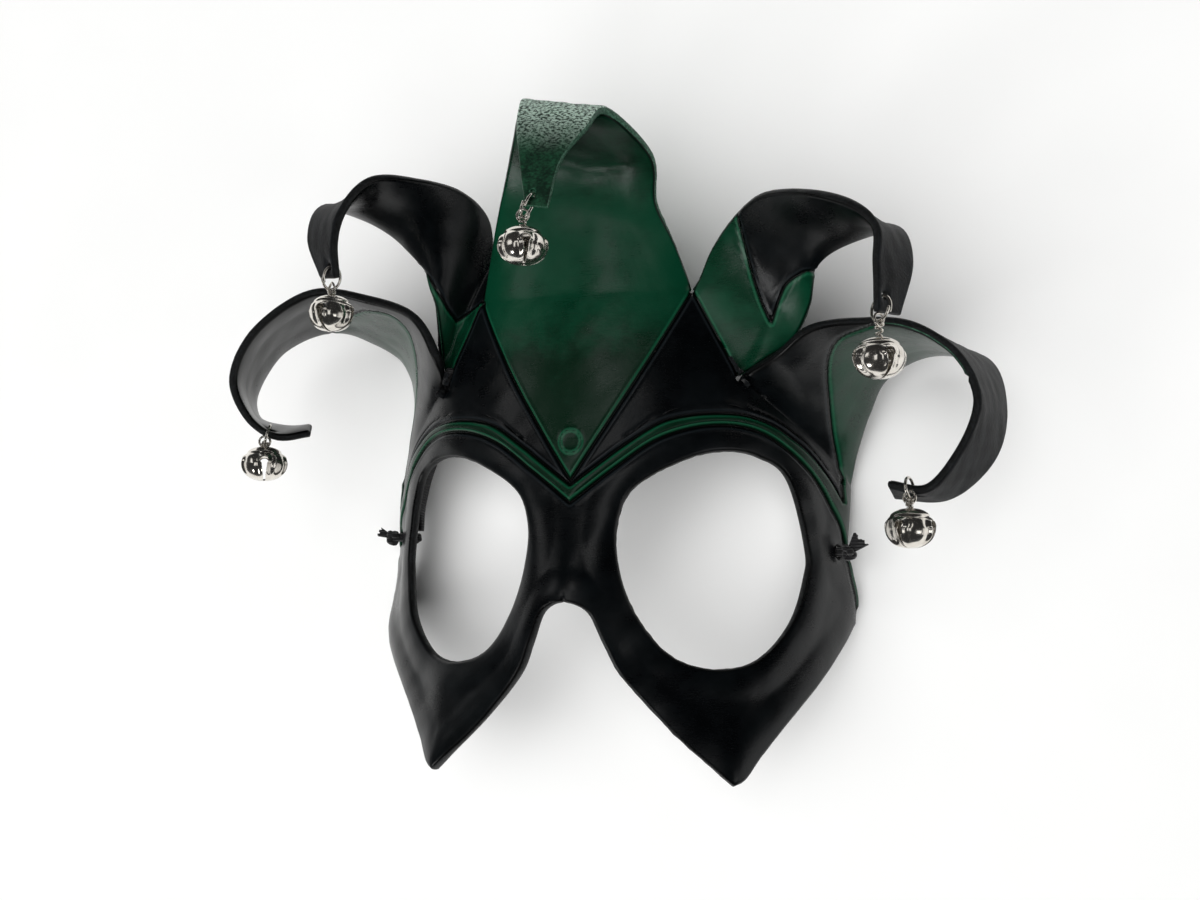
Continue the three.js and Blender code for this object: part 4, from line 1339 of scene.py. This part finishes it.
@dataclass
class TempleKnot:
    """The strap's knot outside a temple: a ribbon looped over itself, with a cut tail, and a lump inside."""

    name: str
    hole: tuple
    tail: tuple
    tail_width: float
    radii: tuple = (2.3, 2.7, 2.3)
    gap: float = 0.4
    leather: float = 2.7
    inner: float = 1.7
    strand: float = 1.05
    strand_waves: float = 0.12
    flattened: float = 0.8
    rod: float = 1.35
    sheet: float = 0.28

    def build(self, face: MouldedFace) -> bpy.types.Object:
        """A trefoil of ribbon for the knot, a rod through the hole, a round lump inside and a fanned tail."""
        place, outward = strap_hole(face, self.hole)
        across = unit(np.cross([0, 1, 0], outward))
        up = np.cross(outward, across)
        middle = place + outward * (self.radii[0] + self.gap)
        t = np.linspace(0, 2 * math.pi, 90, endpoint=False)
        x = (np.sin(t) + 2 * np.sin(2 * t)) / 3
        y = (np.cos(t) - 2 * np.cos(2 * t)) / 3
        z = -np.sin(3 * t)
        reach = (np.array(self.radii) - 1.1) * [1, 1, self.flattened]
        path = middle + np.stack([x, y, z], -1) * reach @ np.stack([across, up, outward])
        wrap = tube(path, self.strand + self.strand_waves * np.sin(9 * t), 12, True)
        neck = place - outward * (self.leather + self.gap + self.inner)
        rod = tube(neck + (middle - neck) * even(11)[:, None], self.rod, 14)
        turns = np.linspace(0, 2 * math.pi, 24, endpoint=False)
        a, b = np.meshgrid(np.linspace(0, math.pi, 17), turns, indexing="ij")
        fold = self.inner * (1 + 0.08 * np.sin(5 * b + 2 * a) * np.sin(a))
        ball = np.stack([fold * np.sin(a) * np.cos(b), fold * np.sin(a) * np.sin(b), fold * np.cos(a)], -1)
        lump = (ball.reshape(-1, 3) + neck, grid_faces(17, 24, True)[:, ::-1])
        points, faces = joined([wrap, rod, lump, self.fan(middle)])
        piece = make_mesh("knot_" + self.name + "_tied", (points + FACE_ZERO) * MM, faces)
        set_number(piece, "length_mm", points @ up)
        return piece

    def fan(self, middle: Points) -> tuple[Points, Points]:
        """The cut tail: a thin sheet that widens, curls and ends in uneven threads."""
        way = np.array(self.tail, float)
        long = np.linalg.norm(way)
        way = way / long
        side = unit(np.cross(way, [0.25, 0.1, 1.0]))
        thin = np.cross(side, way)
        u, v = np.meshgrid(np.linspace(0, 1, 16), np.linspace(-1, 1, 13), indexing="ij")
        ragged = 1 + 0.07 * np.sin(v * 7) * u ** 3 + 0.04 * np.sin(v * 23 + 1) * u ** 3
        width = self.tail_width * (0.3 + 0.7 * u)
        points = (middle + way * (u * long * ragged)[..., None] + side * (v * width / 2)[..., None]
                  + thin * (0.35 * np.sin(3 * v + 2 * u) * u)[..., None])
        half = self.sheet * (1 - 0.4 * u)[..., None] * thin
        upper, lower = (points + half).reshape(-1, 3), (points - half).reshape(-1, 3)
        faces = grid_faces(16, 13)
        size = 16 * 13
        index = np.arange(size).reshape(16, 13)
        loop = np.concatenate([index[0, :], index[1:, -1], index[-1, -2::-1], index[-2:0:-1, 0]])
        after = np.roll(loop, -1)
        walls = np.stack([loop, after, after + size, loop + size], -1)
        return np.vstack([upper, lower]), np.vstack([faces[:, ::-1], faces + size, walls])


# Camera, light and floor

@dataclass
class Studio:
    """The camera at the picture's angle, a pale floor and soft light."""

    turn: float = 16.6
    tilt: float = -3.9
    place: tuple = (107.607, 6.8, 333.153)
    focal_pixels: float = 1249.0
    image_width: int = 1200
    sensor: float = 36.0
    lamps: tuple = (("fill", 230, 74, 1.4, 3.1), ("key", 205, 80, 0.45, 0.62), ("crown", 80, 75, 0.26, 0.3),
                    ("upper_left", 165, 42, 0.34, 0.36), ("left", 180, 5, 0.4, 0.25),
                    ("low_left", 228, 31, 0.25, 1.2),
                    ("right", 345, 14, 0.6, 0.9), ("upper_right", 335, 40, 0.25, 0.3))
    lamp_distance: float = 1.15
    sky: tuple = ((0.0, "#5c5f62"), (0.12, "#3a3c3e"), (0.35, "#0f1011"), (0.65, "#060607"))
    backdrop: str = "#eceef0"
    exposure: float = 0.0

    def camera(self) -> None:
        """A camera whose three axes come from its turn around the mask and its tilt."""
        a, e = math.radians(self.turn), math.radians(self.tilt)
        back = np.array([math.sin(a) * math.cos(e), math.sin(e), math.cos(a) * math.cos(e)])
        right = np.array([math.cos(a), 0, -math.sin(a)])
        up = np.cross(back, right)
        data = bpy.data.cameras.new("camera")
        data.sensor_width = self.sensor
        data.lens = self.focal_pixels / self.image_width * self.sensor
        data.clip_start, data.clip_end = 0.01, 20
        camera = bpy.data.objects.new("camera", data)
        spot = (np.array(self.place) + FACE_ZERO) * MM
        camera.matrix_world = standing(right, up, back, spot)
        bpy.context.scene.collection.objects.link(camera)
        bpy.context.scene.camera = camera

    def floor(self) -> None:
        """A wide matt sheet of pale paper."""
        half = 6.0
        points = np.array([(-half, -half, 0), (half, -half, 0), (half, half, 0), (-half, half, 0)])
        sheet = make_mesh("floor", points - [0, 0, 0.0004], np.array([[0, 1, 2, 3]]))
        material, add, shader, where = new_material("matt_white_paper", "#f4f4f2")
        mottle = add("TexNoise", {"Vector": where, **per_mm(60, 2)})
        shade = add("Mix", {"Factor": mottle, "A": "#f6f6f5", "B": "#f1f1f0"}, **COLOURS)
        shader({"Base Color": shade, "Roughness": 0.95, "Specular IOR Level": 0.1})
        sheet.data.materials.append(material)

    def light(self) -> None:
        """Small soft lamps around the mask, a broad fill that only matt surfaces see, and a dark sky.

        Each lamp's name comes with its azimuth and elevation in degrees, its size in metres and its power
        in watts. The fill is far away, so its size is an angle and its power falls on each square metre. It
        leaves no reflection, so the dark leather keeps its depth.
        """
        aim = np.array([0.0, 0.02, 0.03])
        for name, azimuth, elevation, size, power in self.lamps:
            far = name == "fill"
            data = bpy.data.lights.new(name, "SUN" if far else "AREA")
            if far:
                data.angle = size
            else:
                data.size = size
            data.energy = power
            lamp = bpy.data.objects.new(name, data)
            lamp.visible_glossy = not far
            a, e = math.radians(azimuth), math.radians(elevation)
            back = np.array([math.cos(a) * math.cos(e), math.sin(a) * math.cos(e), math.sin(e)])
            spot = aim + back * self.lamp_distance
            right = unit(np.cross([0, 1, 0.01], back))
            up = np.cross(back, right)
            lamp.matrix_world = standing(right, up, back, spot)
            bpy.context.scene.collection.objects.link(lamp)
        world = bpy.data.worlds.new("sky")
        world.use_nodes = True
        add = partial(add_node, world)
        height = add("SeparateXYZ", {"Vector": add("TexCoord", out="Generated")}, out="Z")
        sky = add("ValToRGB", {"Fac": height}, out="Color")
        band = sky.node.color_ramp
        while len(band.elements) < len(self.sky):
            band.elements.new(0.5)
        for element, (place, code) in zip(band.elements, self.sky):
            element.position = place
            element.color = colour(code)
        seen = add("LightPath", out="Is Camera Ray")
        shown = add("Mix", {"Factor": seen, "A": sky, "B": self.backdrop}, **COLOURS)
        set_inputs(world.node_tree.nodes["Background"], {"Color": shown, "Strength": 1.0})
        bpy.context.scene.world = world
        bpy.context.scene.view_settings.view_transform = "Standard"
        bpy.context.scene.view_settings.exposure = self.exposure

    def build(self) -> None:
        """Makes all three."""
        self.camera()
        self.floor()
        self.light()


def main() -> None:
    """Builds the mask piece by piece and reports each one."""
    logging.basicConfig(level=logging.INFO, format="%(message)s")
    Studio().build()
    ribbon = BlackRibbon().build()
    nickel = NickelPlate().build()
    leather = MaskLeather()
    face = leather.face

    strap = Strap()
    strap_piece, path, length = strap.build()
    dress(strap_piece, Finish.RIBBON, [ribbon], "strap")
    knots = (
        TempleKnot("right", (89, 2), (3.6, 3.6, 2.2), 5.4),
        TempleKnot("left", (-89, 6), (-4.4, 1.8, 1.0), 3.0),
    )
    for knot in knots:
        piece = knot.build(face)
        dress(piece, Finish.RIBBON, [ribbon], "knot_" + knot.name)
        LOG.info("%s: %d faces", piece.name, len(piece.data.polygons))
    LOG.info("strap: %.0f mm long", length / MM)

    holes = [(*hanger.frame(face)[::2], 1.2) for hanger in HANGERS]
    holes += [(*strap_hole(face, knot.hole), 1.9) for knot in knots]
    holes += [(*strap_hole(face, (side * s, y)), radius) for side in (-1, 1)
              for (s, y), radius in ((face.side_slit, 0.9), (face.centre_slit, 0.5))]
    sheet = leather.build(holes)
    grain, flesh, edge = DyedLeather().build(), FleshSide().build(), CutEdge().build()
    dress(sheet, Finish.LEATHER, [grain, flesh, edge], "mask_leather")

    for hanger in HANGERS:
        ring = WireRing().build(hanger, face)
        dress(ring, Finish.NICKEL, [nickel], "ring_" + hanger.name)
        bell = JingleBell().build(hanger, face)
        dress(bell, Finish.NICKEL, [nickel], "bell_" + hanger.name)
        count = len(ring.data.polygons) + len(bell.data.polygons)
        LOG.info("%s and %s: %d faces", ring.name, bell.name, count)


if __name__ == "__main__":
    main()
